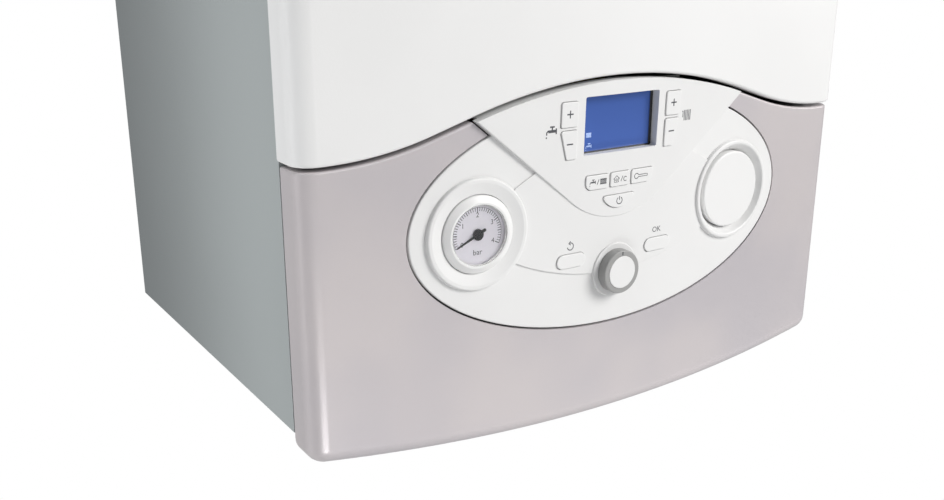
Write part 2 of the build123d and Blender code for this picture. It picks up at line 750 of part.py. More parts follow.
with BuildPart() as base_zone:
    add(bowed_zone(panel_front(0), PANEL_LOW, BASE_LEVEL))
    oval_edge = base_zone.faces().sort_by(Axis.Y)[0].edges().sort_by(SortBy.LENGTH)[-1]
    fillet(oval_edge, radius=PANEL_RIM_R)

with BuildPart() as control_panel:
    add(base_zone.part)
    add(bowed_zone(middle_front.sketch, PANEL_LOW, MIDDLE_LEVEL, rim_r=MIDDLE_RIM_R))
    add(bowed_zone(shield_front(0), PANEL_LOW, SHIELD_LEVEL, SHIELD_LEAN, SHIELD_RIM_R))
    skirt = [(0, PANEL_LOW), (SKIRT_R, PANEL_LOW), (SKIRT_R, SKIRT_LEVEL), (0, SKIRT_LEVEL)]
    add(turned(knob_plane, skirt, [0, 0, SKIRT_EDGE_R, 0]))
    extrude(below_wave(WAVE_GAP), amount=BOW_D + CASE_D, mode=Mode.INTERSECT)
    for plane in (gauge_plane, cap_plane):
        with BuildSketch(plane):
            Circle((RING_OUTER_R + RING_CREST_R) / 2)
        extrude(amount=CASE_D / 4, both=True, mode=Mode.SUBTRACT)
    ring_crest = [
        (RING_CREST_R - CREST_HALF_W, RING_LEVEL),
        (RING_CREST_R + CREST_HALF_W, RING_LEVEL),
    ]
    ring_foot = [(RING_OUTER_R, BASE_LEVEL), (RING_OUTER_R, PANEL_LOW)]
    gauge_foot = [(GAUGE_BORE_R, PANEL_LOW), (GAUGE_BORE_R, MIDDLE_LEVEL - RIM_R)]
    cap_floor = CAP_FOOT_LEVEL - PANEL_WALL
    cap_foot = [(CAP_BORE_R, cap_floor), (CAP_BORE_R, CAP_FOOT_LEVEL)]
    crest_radii = [0, RIM_R, CREST_R, CREST_R, 0, 0]
    add(turned(gauge_plane, gauge_foot + ring_crest + ring_foot, crest_radii))
    add(turned(cap_plane, cap_foot + ring_crest + ring_foot, crest_radii))
    with BuildSketch(front_plane(GLASS_Y - SEAT / 2)):
        with Locations((0, DISPLAY_Z)):
            Rectangle(DISPLAY_W + 2 * DISPLAY_WELL, DISPLAY_H + 2 * DISPLAY_WELL)
    extrude(amount=DISPLAY_DEPTH - SEAT / 2)
    with BuildSketch(front_plane(SEAM_Y)):
        with Locations((0, DISPLAY_Z)):
            RectangleRounded(DISPLAY_W, DISPLAY_H, KEY_R)
    extrude(amount=BOW_D, mode=Mode.SUBTRACT)
    for outline, *_ in BUTTONS.values():
        extrude(grown(outline, BUTTON_GAP), amount=BOW_D + CASE_D, mode=Mode.SUBTRACT)
    rod(SHAFT_HOLE_R, 0, KNOB_Z, SEAM_Y, -BOW_D - FLANGE, Mode.SUBTRACT)
save(control_panel.part, "control_panel")

# ------------------------------------------------------------------ gauge and blank cap
CASE_STEP = 3.0         # the case is slimmer behind its snap rim
SNAP_RIM = 4.0          # depth of that rim behind the panel
DIAL_SINK = 0.3         # dial below the case's front
NEEDLE_PIN_R = 0.6
NEEDLE_PIN_H = 1.1
with BuildPart() as gauge_case:
    case_front = DIAL_LEVEL + DIAL_SINK
    cup = [
        (0, -GAUGE_DEPTH),
        (GAUGE_R - CASE_STEP, -GAUGE_DEPTH),
        (GAUGE_R - CASE_STEP, PANEL_LOW - SNAP_RIM),
        (GAUGE_R, PANEL_LOW - SNAP_RIM),
        (GAUGE_R, case_front),
        (DIAL_R + DIAL_SINK, case_front),
        (DIAL_R + DIAL_SINK, DIAL_LEVEL),
        (NEEDLE_PIN_R, DIAL_LEVEL),
        (NEEDLE_PIN_R, DIAL_LEVEL + NEEDLE_PIN_H),
        (0, DIAL_LEVEL + NEEDLE_PIN_H),
    ]
    add(turned(gauge_plane, cup))
save(gauge_case.part, "gauge_case")

BEZEL_FOOT = case_front + SEAT / 2
bezel_top = BEZEL_FOOT + BEZEL_RISE
BEZEL_SIDE = 1.2
BEZEL_FLAT = 1.4
LENS_LEDGE = 0.6
LENS_LEVEL = BEZEL_FOOT + 1.9
LENS_LIFT = 0.05        # lens above its ledge
LENS_R = DIAL_R - 0.1
with BuildPart() as gauge_bezel:
    rim = [
        (GAUGE_R, BEZEL_FOOT),
        (GAUGE_R, BEZEL_FOOT + BEZEL_SIDE),
        (DIAL_R + BEZEL_FLAT, bezel_top),
        (DIAL_R, bezel_top),
        (DIAL_R, LENS_LEVEL),
        (DIAL_R - LENS_LEDGE, LENS_LEVEL),
        (DIAL_R - LENS_LEDGE, LENS_LEVEL - LENS_LEDGE),
        (DIAL_R, LENS_LEVEL - LENS_LEDGE),
        (DIAL_R, BEZEL_FOOT),
    ]
    add(turned(gauge_plane, rim, [0, BEZEL_SIDE, BEZEL_FLAT / 2, RIM_R, 0, 0, 0, 0, 0]))
save(gauge_bezel.part, "gauge_bezel")

with BuildPart() as gauge_lens:
    lens = [
        (0, LENS_LEVEL + LENS_LIFT),
        (LENS_R, LENS_LEVEL + LENS_LIFT),
        (LENS_R, LENS_LEVEL + LENS_LIFT + LENS_T),
        (0, LENS_LEVEL + LENS_LIFT + LENS_T),
    ]
    add(turned(gauge_plane, lens))
save(gauge_lens.part, "gauge_lens")

POINTER_HUB_H = 1.2
POINTER_PIN_DEPTH = 0.95  # blind hole for the pin
POINTER_T = 0.5
POINTER_TIP_R = 0.25
POINTER_TAIL_R = 0.9
pointer_plane = skin_plane(-RING_X, RING_Z, case_front)
with BuildPart() as pointer:
    with BuildSketch(pointer_plane):
        Circle(POINTER_HUB_R)
    extrude(amount=POINTER_HUB_H)
    arm = math.radians(GAUGE_ZERO)
    tip = (POINTER_LEN * math.cos(arm), POINTER_LEN * math.sin(arm))
    tail = (-tip[0] / 3, -tip[1] / 3)
    with BuildSketch(pointer_plane):
        with Locations(tip):
            Circle(POINTER_TIP_R)
        with Locations(tail):
            Circle(POINTER_TAIL_R)
        make_hull()
    extrude(amount=POINTER_T)
    with BuildSketch(pointer_plane):
        Circle(NEEDLE_PIN_R + RUNNING)
    extrude(amount=POINTER_PIN_DEPTH, mode=Mode.SUBTRACT)
save(pointer.part, "gauge_pointer")

CAP_EDGE_R = 1.2
CAP_WALL = 2.2
with BuildPart() as blank_cap:
    cap_profile = [
        (0, cap_floor),
        (CAP_R, cap_floor),
        (CAP_R, CAP_LEVEL),
        (0, CAP_LEVEL),
    ]
    add(turned(cap_plane, cap_profile, [0, 0, CAP_EDGE_R, 0]))
    hollow = [
        (0, cap_floor),
        (CAP_R - CAP_WALL, cap_floor),
        (CAP_R - CAP_WALL, CAP_LEVEL - CAP_WALL),
        (0, CAP_LEVEL - CAP_WALL),
    ]
    add(turned(cap_plane, hollow), mode=Mode.SUBTRACT)
save(blank_cap.part, "blank_cap")

# ------------------------------------------------------------------ display
DISPLAY_RIM = 1.6
half_h = DISPLAY_H / 2 + DISPLAY_RIM
display_z = (DISPLAY_Z - half_h, DISPLAY_Z + half_h)
with BuildPart() as display_module:
    half_w = DISPLAY_W / 2 + DISPLAY_RIM
    slab((-half_w, half_w), (GLASS_Y, BOARD_Y), display_z)
    with BuildSketch(front_plane(GLASS_Y)):
        with Locations((0, DISPLAY_Z)):
            Rectangle(DISPLAY_W - 2 * DISPLAY_BORDER[0], DISPLAY_H - 2 * DISPLAY_BORDER[1])
    extrude(amount=-DISPLAY_STEP, mode=Mode.SUBTRACT)
save(display_module.part, "display_module")

# ------------------------------------------------------------------ knob and encoder
ENCODER_HALF = 6.5
ENCODER_T = 7.0
BUSH_R = SHAFT_R + 0.6
BUSH_GAP = 1.0          # bush behind the knob
SHAFT_SHORT = 0.2       # shaft above the bottom of its hole
ENCODER_FLOOR = 2.0
KNOB_PLAY = 0.4         # knob in front of its skirt
KNOB_EDGE_R = 1.0
KNOB_CAP_SINK = 1.5     # depth of the seat of the cap
KNOB_CAP_PLAY = 0.1
KNOB_CAP_PROUD = 0.4
KNOB_CAP_EDGE_R = 0.5
knob_rear_y = skin_front_y - SKIRT_LEVEL - KNOB_PLAY
knob_front_y = knob_rear_y - KNOB_H
cap_seat_y = knob_front_y + KNOB_CAP_SINK
with BuildPart() as encoder:
    span = (-ENCODER_HALF, ENCODER_HALF)
    slab(span, (BOARD_Y - ENCODER_T, BOARD_Y), (KNOB_Z - ENCODER_HALF, KNOB_Z + ENCODER_HALF))
    rod(BUSH_R, 0, KNOB_Z, BOARD_Y - ENCODER_T, knob_rear_y + BUSH_GAP)
    shaft_floor = BOARD_Y - ENCODER_T + ENCODER_FLOOR
    rod(SHAFT_R + RUNNING, 0, KNOB_Z, shaft_floor, knob_rear_y, Mode.SUBTRACT)
save(encoder.part, "knob_encoder")

with BuildPart() as knob_ring:
    rod(KNOB_R, 0, KNOB_Z, knob_rear_y, knob_front_y)
    fillet(knob_ring.faces().sort_by(Axis.Y)[0].edges(), radius=KNOB_EDGE_R)
    rod(KNOB_CAP_R + KNOB_CAP_PLAY, 0, KNOB_Z, cap_seat_y, knob_front_y, Mode.SUBTRACT)
    rod(SHAFT_R, 0, KNOB_Z, shaft_floor - SHAFT_SHORT, knob_rear_y)
save(knob_ring.part, "knob_ring")

with BuildPart() as knob_cap:
    rod(KNOB_CAP_R, 0, KNOB_Z, cap_seat_y, knob_front_y - KNOB_CAP_PROUD)
    fillet(knob_cap.faces().sort_by(Axis.Y)[0].edges(), radius=KNOB_CAP_EDGE_R)
save(knob_cap.part, "knob_cap")

# ------------------------------------------------------------------ control box
BOARD_X = 56.0
BOARD_Z = (60.0, 181.0)
WINDOW_X = 47.5
WINDOW_Z = 98.0
BACKING_HIGH = min(PANEL_LOW, -FASCIA_WALL) - BACKING_GAP
BACKING_LOW = BACKING_HIGH - HOUSING_WALL
POST_X = 52.0
POST_R = 3.0
POST_INSET = 5.0        # board posts inside the board's upper and lower edge
WINDOW_BAR = 6.0        # bar between the two windows
SHELL_LAP = 1.0         # how far the tube runs into the backing plate
HOLE_OVERRUN = 1.0
with BuildPart() as housing_tube:
    y_span = (-BOW_D, HOUSING_REAR_Y)
    slab((-HOUSING_HALF_W, HOUSING_HALF_W), y_span, HOUSING_Z)
    inner_x = HOUSING_HALF_W - HOUSING_WALL
    inner_z = (HOUSING_Z[0] + HOUSING_WALL, HOUSING_Z[1] - HOUSING_WALL)
    slab((-inner_x, inner_x), y_span, inner_z, mode=Mode.SUBTRACT)
    add(
        bowed_block(FASCIA_INSET - BACKING_LOW - SHELL_LAP, HOUSING_REAR_Y, *HOUSING_Z),
        mode=Mode.INTERSECT,
    )
    slab(
        (-BOARD_X - SEAT, BOARD_X + SEAT),
        (-BOW_D, BOARD_Y + BOARD_T + SEAT),
        (BOARD_Z[0], BOARD_Z[1]),
        mode=Mode.SUBTRACT,
    )

with BuildPart() as control_housing:
    with BuildSketch(Plane.XZ) as backing_front:
        add(fascia_front(FASCIA_WALL + SEAT))
        add(panel_front(FLANGE), mode=Mode.INTERSECT)
    add(bowed_zone(backing_front.sketch, BACKING_LOW, BACKING_HIGH))
    through = (-BOW_D, SEAM_Y)
    for half, z_low, z_high in (
        (WINDOW_X, WINDOW_Z, PLUS_Z[1] + SHEET),
        (DISPLAY_W / 2 + DISPLAY_RIM + SEAT, WINDOW_Z, display_z[1] + SEAT),
        (WINDOW_X, BOARD_Z[0] + 2 * SHEET, WINDOW_Z - WINDOW_BAR),
    ):
        slab((-half, half), through, (z_low, z_high), mode=Mode.SUBTRACT)
    for plane in (gauge_plane, cap_plane):
        with BuildSketch(plane):
            Circle(RING_OUTER_R)
        extrude(amount=CASE_D / 8, both=True, mode=Mode.SUBTRACT)
    add(housing_tube.part)
    for x in (-POST_X, POST_X):
        for z in (BOARD_Z[0] + POST_INSET, BOARD_Z[1] - POST_INSET):
            rod(POST_R, x, z, BOARD_Y, skin_front_y - BACKING_LOW)
    for side in (-1, 1):
        ear_x = sorted((side * EAR_X[0], side * EAR_X[1]))
        ear_top = HOUSING_Z[0] + HOUSING_WALL / 2
        ear_y = (HINGE_Y - EAR_L, HINGE_Y + HINGE_EYE_R)
        ear_reach = [(ear_y[0], HOUSING_Z[0]), (ear_y[0], ear_top), (ear_y[1], ear_top)]
        add(hinge_plate(ear_x, ear_reach))
        with BuildSketch(Plane.YZ.offset(ear_x[0] - HOLE_OVERRUN)):
            with Locations((HINGE_Y, HINGE_Z)):
                Circle(HINGE_PIN_R + RUNNING)
        extrude(amount=EAR_T + 2 * HOLE_OVERRUN, mode=Mode.SUBTRACT)
save(control_housing.part, "control_housing")

with BuildPart() as key_board:
    slab((-BOARD_X, BOARD_X), (BOARD_Y, BOARD_Y + BOARD_T), BOARD_Z)
    for _, stem_x, stem_z, _ in BUTTONS.values():
        slab(
            (stem_x - SWITCH_HALF, stem_x + SWITCH_HALF),
            (SWITCH_Y, BOARD_Y),
            (stem_z - SWITCH_HALF, stem_z + SWITCH_HALF),
        )
save(key_board.part, "key_board")

LID_T = 2.0
LID_CORNER_R = 4.0
BOARD_POST = (110.0, 16.0)  # posts of the main board, from the middle and from its edges
BOARD_POST_R = 4.0
MAIN_BOARD_Y = HOUSING_REAR_Y - 49.0
MAIN_BOARD_HALF_W = 124.0
MAIN_BOARD_INSET = 8.0
TRANSFORMER = ((-100.0, -60.0), 28.4, (70.0, 104.0))  # span in x, height, span in z
TERMINALS = ((-40.0, 30.0), 12.4, (38.0, 52.0))
CAPACITORS = ((50.0, 72.0, 94.0), 24.4, 86.0)
CAPACITOR_R = 8.0
with BuildPart() as housing_lid:
    slab(
        (-HOUSING_HALF_W, HOUSING_HALF_W),
        (HOUSING_REAR_Y, HOUSING_REAR_Y + LID_T),
        HOUSING_Z,
    )
    fillet(housing_lid.edges().filter_by(Axis.Y), radius=LID_CORNER_R)
    for x in (-BOARD_POST[0], BOARD_POST[0]):
        for z in (HOUSING_Z[0] + BOARD_POST[1], HOUSING_Z[1] - BOARD_POST[1]):
            rod(BOARD_POST_R, x, z, HOUSING_REAR_Y, MAIN_BOARD_Y + BOARD_T)
save(housing_lid.part, "housing_lid")

with BuildPart() as main_board:
    rear = MAIN_BOARD_Y + BOARD_T
    slab(
        (-MAIN_BOARD_HALF_W, MAIN_BOARD_HALF_W),
        (MAIN_BOARD_Y, rear),
        (HOUSING_Z[0] + MAIN_BOARD_INSET, HOUSING_Z[1] - MAIN_BOARD_INSET),
    )
    for x_span, height, z_span in (TRANSFORMER, TERMINALS):
        slab(x_span, (rear, rear + height), z_span)
    for x in CAPACITORS[0]:
        rod(CAPACITOR_R, x, CAPACITORS[2], rear + CAPACITORS[1], rear)
save(main_board.part, "main_board")

# ------------------------------------------------------------------ flue
EXCHANGER_TOP = EXCHANGER_Z + EXCHANGER_R
OUTLET_Z = EXCHANGER_TOP + 12.0
DUCT_TOP = CASE_H + COLLAR_H - 8.0
with BuildPart() as flue_duct:
    post(FLUE_R + FLUE_WALL, 0, FLUE_Y, OUTLET_Z, DUCT_TOP)
    post(FLUE_R, 0, FLUE_Y, OUTLET_Z, DUCT_TOP, Mode.SUBTRACT)
save(flue_duct.part, "flue_duct")

COLLAR_FLANGE_R = 64.0
COLLAR_FLANGE_T = 2.5
with BuildPart() as flue_collar:
    post(COLLAR_FLANGE_R, 0, FLUE_Y, CASE_H, CASE_H + COLLAR_FLANGE_T)
    post(AIR_R, 0, FLUE_Y, CASE_H, CASE_H + COLLAR_H)
    post(AIR_R - FLUE_WALL, 0, FLUE_Y, CASE_H, CASE_H + COLLAR_H, Mode.SUBTRACT)
save(flue_collar.part, "flue_collar")

# ------------------------------------------------------------------ expansion vessel
DISH_R = VESSEL_R - 30.0  # flat middle of each shell
DISH_H = 22.0           # depth of its sloping border
SEAM_H = 2.0            # half the rolled seam's width
SEAM_R = VESSEL_R + 4.0
NIPPLE_R = 7.0
NIPPLE_WALL = 3.0
NIPPLE_L = 12.0
NIPPLE_LAP = 4.0        # how far it reaches into the shell
with BuildPart() as expansion_vessel:
    rear = FRAME_Y - SEAT
    depth = [
        (0, 0),
        (DISH_R, 0),
        (VESSEL_R, DISH_H),
        (VESSEL_R, VESSEL_T / 2 - SEAM_H),
        (SEAM_R, VESSEL_T / 2 - SEAM_H),
        (SEAM_R, VESSEL_T / 2 + SEAM_H),
        (VESSEL_R, VESSEL_T / 2 + SEAM_H),
        (VESSEL_R, VESSEL_T - DISH_H),
        (DISH_R, VESSEL_T),
        (0, VESSEL_T),
    ]
    vessel_plane = Plane(origin=(0, rear, VESSEL_Z), x_dir=(1, 0, 0), z_dir=(0, -1, 0))
    add(turned(vessel_plane, depth))
    nipple_top = VESSEL_Z - VESSEL_R + SHEET
    nipple_low = nipple_top - NIPPLE_L
    hollow = [
        (0, VESSEL_WALL),
        (DISH_R, VESSEL_WALL),
        (VESSEL_R - VESSEL_WALL, DISH_H),
        (VESSEL_R - VESSEL_WALL, VESSEL_T - DISH_H),
        (DISH_R, VESSEL_T - VESSEL_WALL),
        (0, VESSEL_T - VESSEL_WALL),
    ]
    add(turned(vessel_plane, hollow), mode=Mode.SUBTRACT)
    post(NIPPLE_R, 0, VESSEL_PIPE_Y, nipple_low, nipple_top + NIPPLE_LAP)
    nipple_bore = NIPPLE_R - NIPPLE_WALL
    post(nipple_bore, 0, VESSEL_PIPE_Y, nipple_low, nipple_top + NIPPLE_L, Mode.SUBTRACT)
save(expansion_vessel.part, "expansion_vessel")

# ------------------------------------------------------------------ heat exchanger
PORT_Z = EXCHANGER_Z - 50.0
PORT_START = 60.0       # where the water ports begin, inside the casting
PORT_END = EXCHANGER_R + 8.0
PORT_WALL = 4.0
RIB_COUNT = 5
RIB_H = 3.0
RIB_T = 4.0
RIB_INSET = 15.0
OUTLET_BORE_R = FLUE_R - 2.0
OUTLET_WALL = 8.0
VENT_X = -60.0
VENT_BOSS_R = 12.0
VENT_BOSS_TOP = EXCHANGER_TOP - 8.0
DRAIN_WALL = 3.0
DRAIN_Z = EXCHANGER_Z - EXCHANGER_R - 4.0
HANGER_HALF = 14.0      # lugs that rest on the brackets
HANGER_LAP = 8.0
HANGER_Z = (EXCHANGER_Z + 25.0, EXCHANGER_Z + 40.0)
with BuildPart() as heat_exchanger:
    front, back = EXCHANGER_Y
    rod(EXCHANGER_R, 0, EXCHANGER_Z, back, front)
    rib_pitch = (back - front - 2 * RIB_INSET) / (RIB_COUNT - 1)
    for i in range(RIB_COUNT):
        y = back - RIB_INSET - i * rib_pitch
        rod(EXCHANGER_R + RIB_H, 0, EXCHANGER_Z, y, y - RIB_T)
    post(OUTLET_BORE_R + OUTLET_WALL, 0, FLUE_Y, EXCHANGER_Z, OUTLET_Z)
    post(VENT_BOSS_R, VENT_X, FLOW_RISER_Y, EXCHANGER_Z, VENT_BOSS_TOP)
    post(HOSE_R + DRAIN_WALL, TRAP_X, TRAP_Y, DRAIN_Z, EXCHANGER_Z)
    for side in (-1, 1):
        with BuildSketch(Plane.YZ.offset(side * PORT_START)):
            with Locations((FLOW_RISER_Y, PORT_Z)):
                Circle(PIPE_R + PORT_WALL)
        extrude(amount=side * (PORT_END - PORT_START))
        lug = sorted((side * (EXCHANGER_R - HANGER_LAP), side * (EXCHANGER_R + HANGER_LAP)))
        slab(lug, (FLUE_Y - HANGER_HALF, FLUE_Y + HANGER_HALF), HANGER_Z)
    # combustion chamber, open to the burner door and to the flue
    chamber_r = EXCHANGER_R - EXCHANGER_WALL
    rod(chamber_r, 0, EXCHANGER_Z, back - EXCHANGER_WALL, front, Mode.SUBTRACT)
    post(OUTLET_BORE_R, 0, FLUE_Y, EXCHANGER_Z, OUTLET_Z, Mode.SUBTRACT)
save(heat_exchanger.part, "heat_exchanger")

STRUT_X = VESSEL_R + 12.0
STRUT_T = 2.0
STRUT_FOOT = 12.0
STRUT_DOWN = 34.8       # strut below and above its shelf
STRUT_UP = 30.0
SHELF_HALF = 20.0
SHELF_X = EXCHANGER_R + 4.0
with BuildPart() as exchanger_brackets:
    shelf_z = HANGER_Z[0] - SEAT
    strut_z = (shelf_z - STRUT_DOWN, shelf_z + STRUT_UP)
    foot_y = FRAME_Y - SEAT
    slab((STRUT_X, STRUT_X + STRUT_T), (FLUE_Y - SHELF_HALF, foot_y), strut_z)
    slab((STRUT_X - STRUT_FOOT, STRUT_X), (foot_y - STRUT_T, foot_y), strut_z)
    shelf_y = (FLUE_Y - SHELF_HALF, FLUE_Y + SHELF_HALF)
    slab((SHELF_X, STRUT_X), shelf_y, (shelf_z - STRUT_T, shelf_z))
    mirror(about=Plane.YZ)
save(exchanger_brackets.part, "exchanger_brackets")

NECK_HALF = 28.0
NECK_X = (FAN_X - NECK_HALF, FAN_X + NECK_HALF)
NECK_Z = FAN_Z + FAN_R + 16.0
DUCT_Y = (EXCHANGER_Y[0] - DOOR_T - 32.0, EXCHANGER_Y[0] - DOOR_T)
DUCT_HEAD_R = 38.0
DUCT_FOOT = 8.0
DUCT_EDGE_R = 6.0
DOOR_R = EXCHANGER_R - 4.0
DOOR_NUTS = 6
DOOR_NUT_R = 7.0
DOOR_NUT_H = 5.0
DOOR_NUT_INSET = 13.0
with BuildPart() as burner_door:
    rod(DOOR_R, 0, EXCHANGER_Z, EXCHANGER_Y[0] - SEAT, DUCT_Y[1])
    with BuildSketch(front_plane(DUCT_Y[1])):
        with Locations((0, EXCHANGER_Z)):
            Circle(DUCT_HEAD_R)
        with Locations((FAN_X, NECK_Z + SEAT + DUCT_FOOT / 2)):
            Rectangle(2 * NECK_HALF, DUCT_FOOT)
        make_hull()
    extrude(amount=DUCT_Y[1] - DUCT_Y[0])
    fillet(burner_door.faces().sort_by(Axis.Y)[0].edges(), radius=DUCT_EDGE_R)
    for i in range(DOOR_NUTS):
        turn = (i + 0.5) * 360 / DOOR_NUTS
        x, z = on_arc((0, EXCHANGER_Z), EXCHANGER_R - DOOR_NUT_INSET, turn)
        rod(DOOR_NUT_R, x, z, DUCT_Y[1], DUCT_Y[1] - DOOR_NUT_H)
save(burner_door.part, "burner_door")

# ------------------------------------------------------------------ fan
IMPELLER_Y = (FAN_Y[0] + 12.0, FAN_Y[1] - 8.0)
BLADES = 10
SPINDLE_HOLE_R = 8.0
with BuildPart() as fan_housing:
    rod(FAN_R, FAN_X, FAN_Z, FAN_Y[1], FAN_Y[0])
    neck_y = (DUCT_Y[0] + FAN_WALL, DUCT_Y[1])
    slab(NECK_X, neck_y, (FAN_Z, NECK_Z))
    slab(
        (NECK_X[0] + FAN_WALL, NECK_X[1] - FAN_WALL),
        (neck_y[0] + FAN_WALL, neck_y[1] - FAN_WALL),
        (FAN_Z, NECK_Z),
        mode=Mode.SUBTRACT,
    )
    rod(FAN_R - FAN_WALL, FAN_X, FAN_Z, FAN_Y[1] - FAN_WALL, FAN_Y[0] + FAN_WALL, Mode.SUBTRACT)
    rod(FAN_EYE_R, FAN_X, FAN_Z, FAN_Y[0] + 2 * FAN_WALL, FAN_Y[0], Mode.SUBTRACT)
    rod(SPINDLE_HOLE_R, FAN_X, FAN_Z, FAN_Y[1], FAN_Y[1] - 2 * FAN_WALL, Mode.SUBTRACT)
save(fan_housing.part, "fan_housing")

SPINDLE_R = 4.0
SPINDLE_Y = IMPELLER_Y[0] + 6.0
MOTOR_EDGE_R = 5.0
with BuildPart() as fan_motor:
    rod(MOTOR_R, FAN_X, FAN_Z, FAN_Y[1] + MOTOR_L, FAN_Y[1] + SEAT / 2)
    fillet(fan_motor.faces().sort_by(Axis.Y)[-1].edges(), radius=MOTOR_EDGE_R)
    rod(SPINDLE_R, FAN_X, FAN_Z, FAN_Y[1] + FAN_WALL, SPINDLE_Y)
save(fan_motor.part, "fan_motor")

DISC_T = 2.0
HUB_R = 12.0
HUB_Y = IMPELLER_Y[0] + 8.0
BLADE_L = 24.0
BLADE_T = 2.4
BLADE_RADIUS = IMPELLER_R - 13.0
BLADE_TURN = 35.0
SHAFT_GAP = 0.5         # end of the spindle to the bottom of its hole
BLADE_LAP = 1.0         # how far the blades run into the rear disc
with BuildPart() as fan_impeller:
    rod(IMPELLER_R, FAN_X, FAN_Z, IMPELLER_Y[1], IMPELLER_Y[1] - DISC_T)
    rod(HUB_R, FAN_X, FAN_Z, IMPELLER_Y[1], HUB_Y)
    with BuildSketch(front_plane(IMPELLER_Y[1] - BLADE_LAP)):
        with Locations((FAN_X, FAN_Z)):
            with PolarLocations(BLADE_RADIUS, BLADES):
                with Locations(Location((0, 0, 0), (0, 0, 1), BLADE_TURN)):
                    SlotOverall(BLADE_L, BLADE_T)
    extrude(amount=IMPELLER_Y[1] - IMPELLER_Y[0] - BLADE_LAP)
    with BuildSketch(front_plane(IMPELLER_Y[0] + DISC_T)):
        with Locations((FAN_X, FAN_Z)):
            Circle(IMPELLER_R)
            Circle(FAN_EYE_R, mode=Mode.SUBTRACT)
    extrude(amount=DISC_T)
    rod(SPINDLE_R + RUNNING, FAN_X, FAN_Z, IMPELLER_Y[1], SPINDLE_Y - SHAFT_GAP, Mode.SUBTRACT)
save(fan_impeller.part, "fan_impeller")

VENTURI_Y = (FAN_Y[0] - 15.0, FAN_Y[0])
VENTURI_R = FAN_EYE_R + 5.0
VENTURI_FLANGE = (6.0, 4.0)  # width and thickness of its flange
VENTURI_WALL = 3.0
THROAT_R = FAN_EYE_R - 4.0
INJECTOR_Y = FAN_Y[0] - 8.0
INJECTOR_PORT = 12.0
PORT_LAP = 1.0
with BuildPart() as venturi:
    plane = Plane(origin=(FAN_X, FAN_Y[0], FAN_Z), x_dir=(1, 0, 0), z_dir=(0, -1, 0))
    depth = FAN_Y[0] - VENTURI_Y[0]
    flange_r = VENTURI_R + VENTURI_FLANGE[0]
    mouth = [
        (THROAT_R, SEAT / 2),
        (flange_r, SEAT / 2),
        (flange_r, VENTURI_FLANGE[1]),
        (VENTURI_R, VENTURI_FLANGE[1]),
        (VENTURI_R, depth),
        (VENTURI_R - VENTURI_WALL, depth),
    ]
    add(turned(plane, mouth))
    with BuildSketch(Plane.YZ.offset(FAN_X + VENTURI_R - PORT_LAP)):
        with Locations((INJECTOR_Y, FAN_Z)):
            Circle(SMALL_PIPE_R + PORT_LAP)
    extrude(amount=INJECTOR_PORT + PORT_LAP)
save(venturi.part, "venturi")

# ------------------------------------------------------------------ gas line
VALVE_X = (58.0, 128.0)
VALVE_Y = (-200.0, -140.0)
VALVE_Z = (262.0, 362.0)
VALVE_EDGE_R = 5.0
COIL_R = 15.0
COIL_L = 26.0
COIL_INSET = 26.0
COIL_X = (VALVE_X[0] + VALVE_X[1]) / 2 + 10.0
REGULATOR_R = 7.0
REGULATOR_L = 10.0
REGULATOR_PLACE = (VALVE_X[0] + 14.0, VALVE_Z[1] - 20.0)
LAP = 2.0               # how far such a boss runs into its body
with BuildPart() as gas_valve:
    slab(VALVE_X, VALVE_Y, VALVE_Z)
    fillet(gas_valve.edges().filter_by(Axis.Z), radius=VALVE_EDGE_R)
    for z in (VALVE_Z[0] + COIL_INSET, VALVE_Z[1] - COIL_INSET):
        rod(COIL_R, COIL_X, z, VALVE_Y[0] + LAP, VALVE_Y[0] - COIL_L)
    rod(REGULATOR_R, *REGULATOR_PLACE, VALVE_Y[0] + LAP, VALVE_Y[0] - REGULATOR_L)
save(gas_valve.part, "gas_valve")

venturi_end = FAN_X + VENTURI_R + INJECTOR_PORT + SEAT
INJECTOR_X = venturi_end + 36.0
INJECTOR_BEND = 14.0
GAS_R = PIPE_R - 1
GAS_BEND = 15.0
GAS_LOW_Z = BLOCK_Z[0] + 18.0
GAS_HIGH_Z = VALVE_Z[0] - 26.0
VALVE_PORT_X = VALVE_X[0] + 38.0
UNION_H = 12.0
UNION_R = TAIL_R + 2.0
with BuildPart() as gas_pipe:
    injector = [
        (venturi_end, INJECTOR_Y, FAN_Z),
        (INJECTOR_X, INJECTOR_Y, FAN_Z),
        (INJECTOR_X, GAS_FEED_Y, FAN_Z),
        (VALVE_X[0] - SEAT, GAS_FEED_Y, FAN_Z),
    ]
    add(bent_pipe(injector, SMALL_PIPE_R, INJECTOR_BEND))
    feed = [
        (0, TAIL_Y, BLOCK_Z[0]),
        (0, TAIL_Y, GAS_LOW_Z),
        (0, GAS_FEED_Y, GAS_LOW_Z),
        (0, GAS_FEED_Y, GAS_HIGH_Z),
        (VALVE_PORT_X, GAS_FEED_Y, GAS_HIGH_Z),
        (VALVE_PORT_X, GAS_FEED_Y, VALVE_Z[0] - SEAT),
    ]
    add(bent_pipe(feed, GAS_R, GAS_BEND))
    with BuildSketch(Plane.XY.offset(BLOCK_Z[0])):
        with Locations((0, TAIL_Y)):
            RegularPolygon(UNION_R, 6)
    extrude(amount=UNION_H)
save(gas_pipe.part, "gas_pipe")

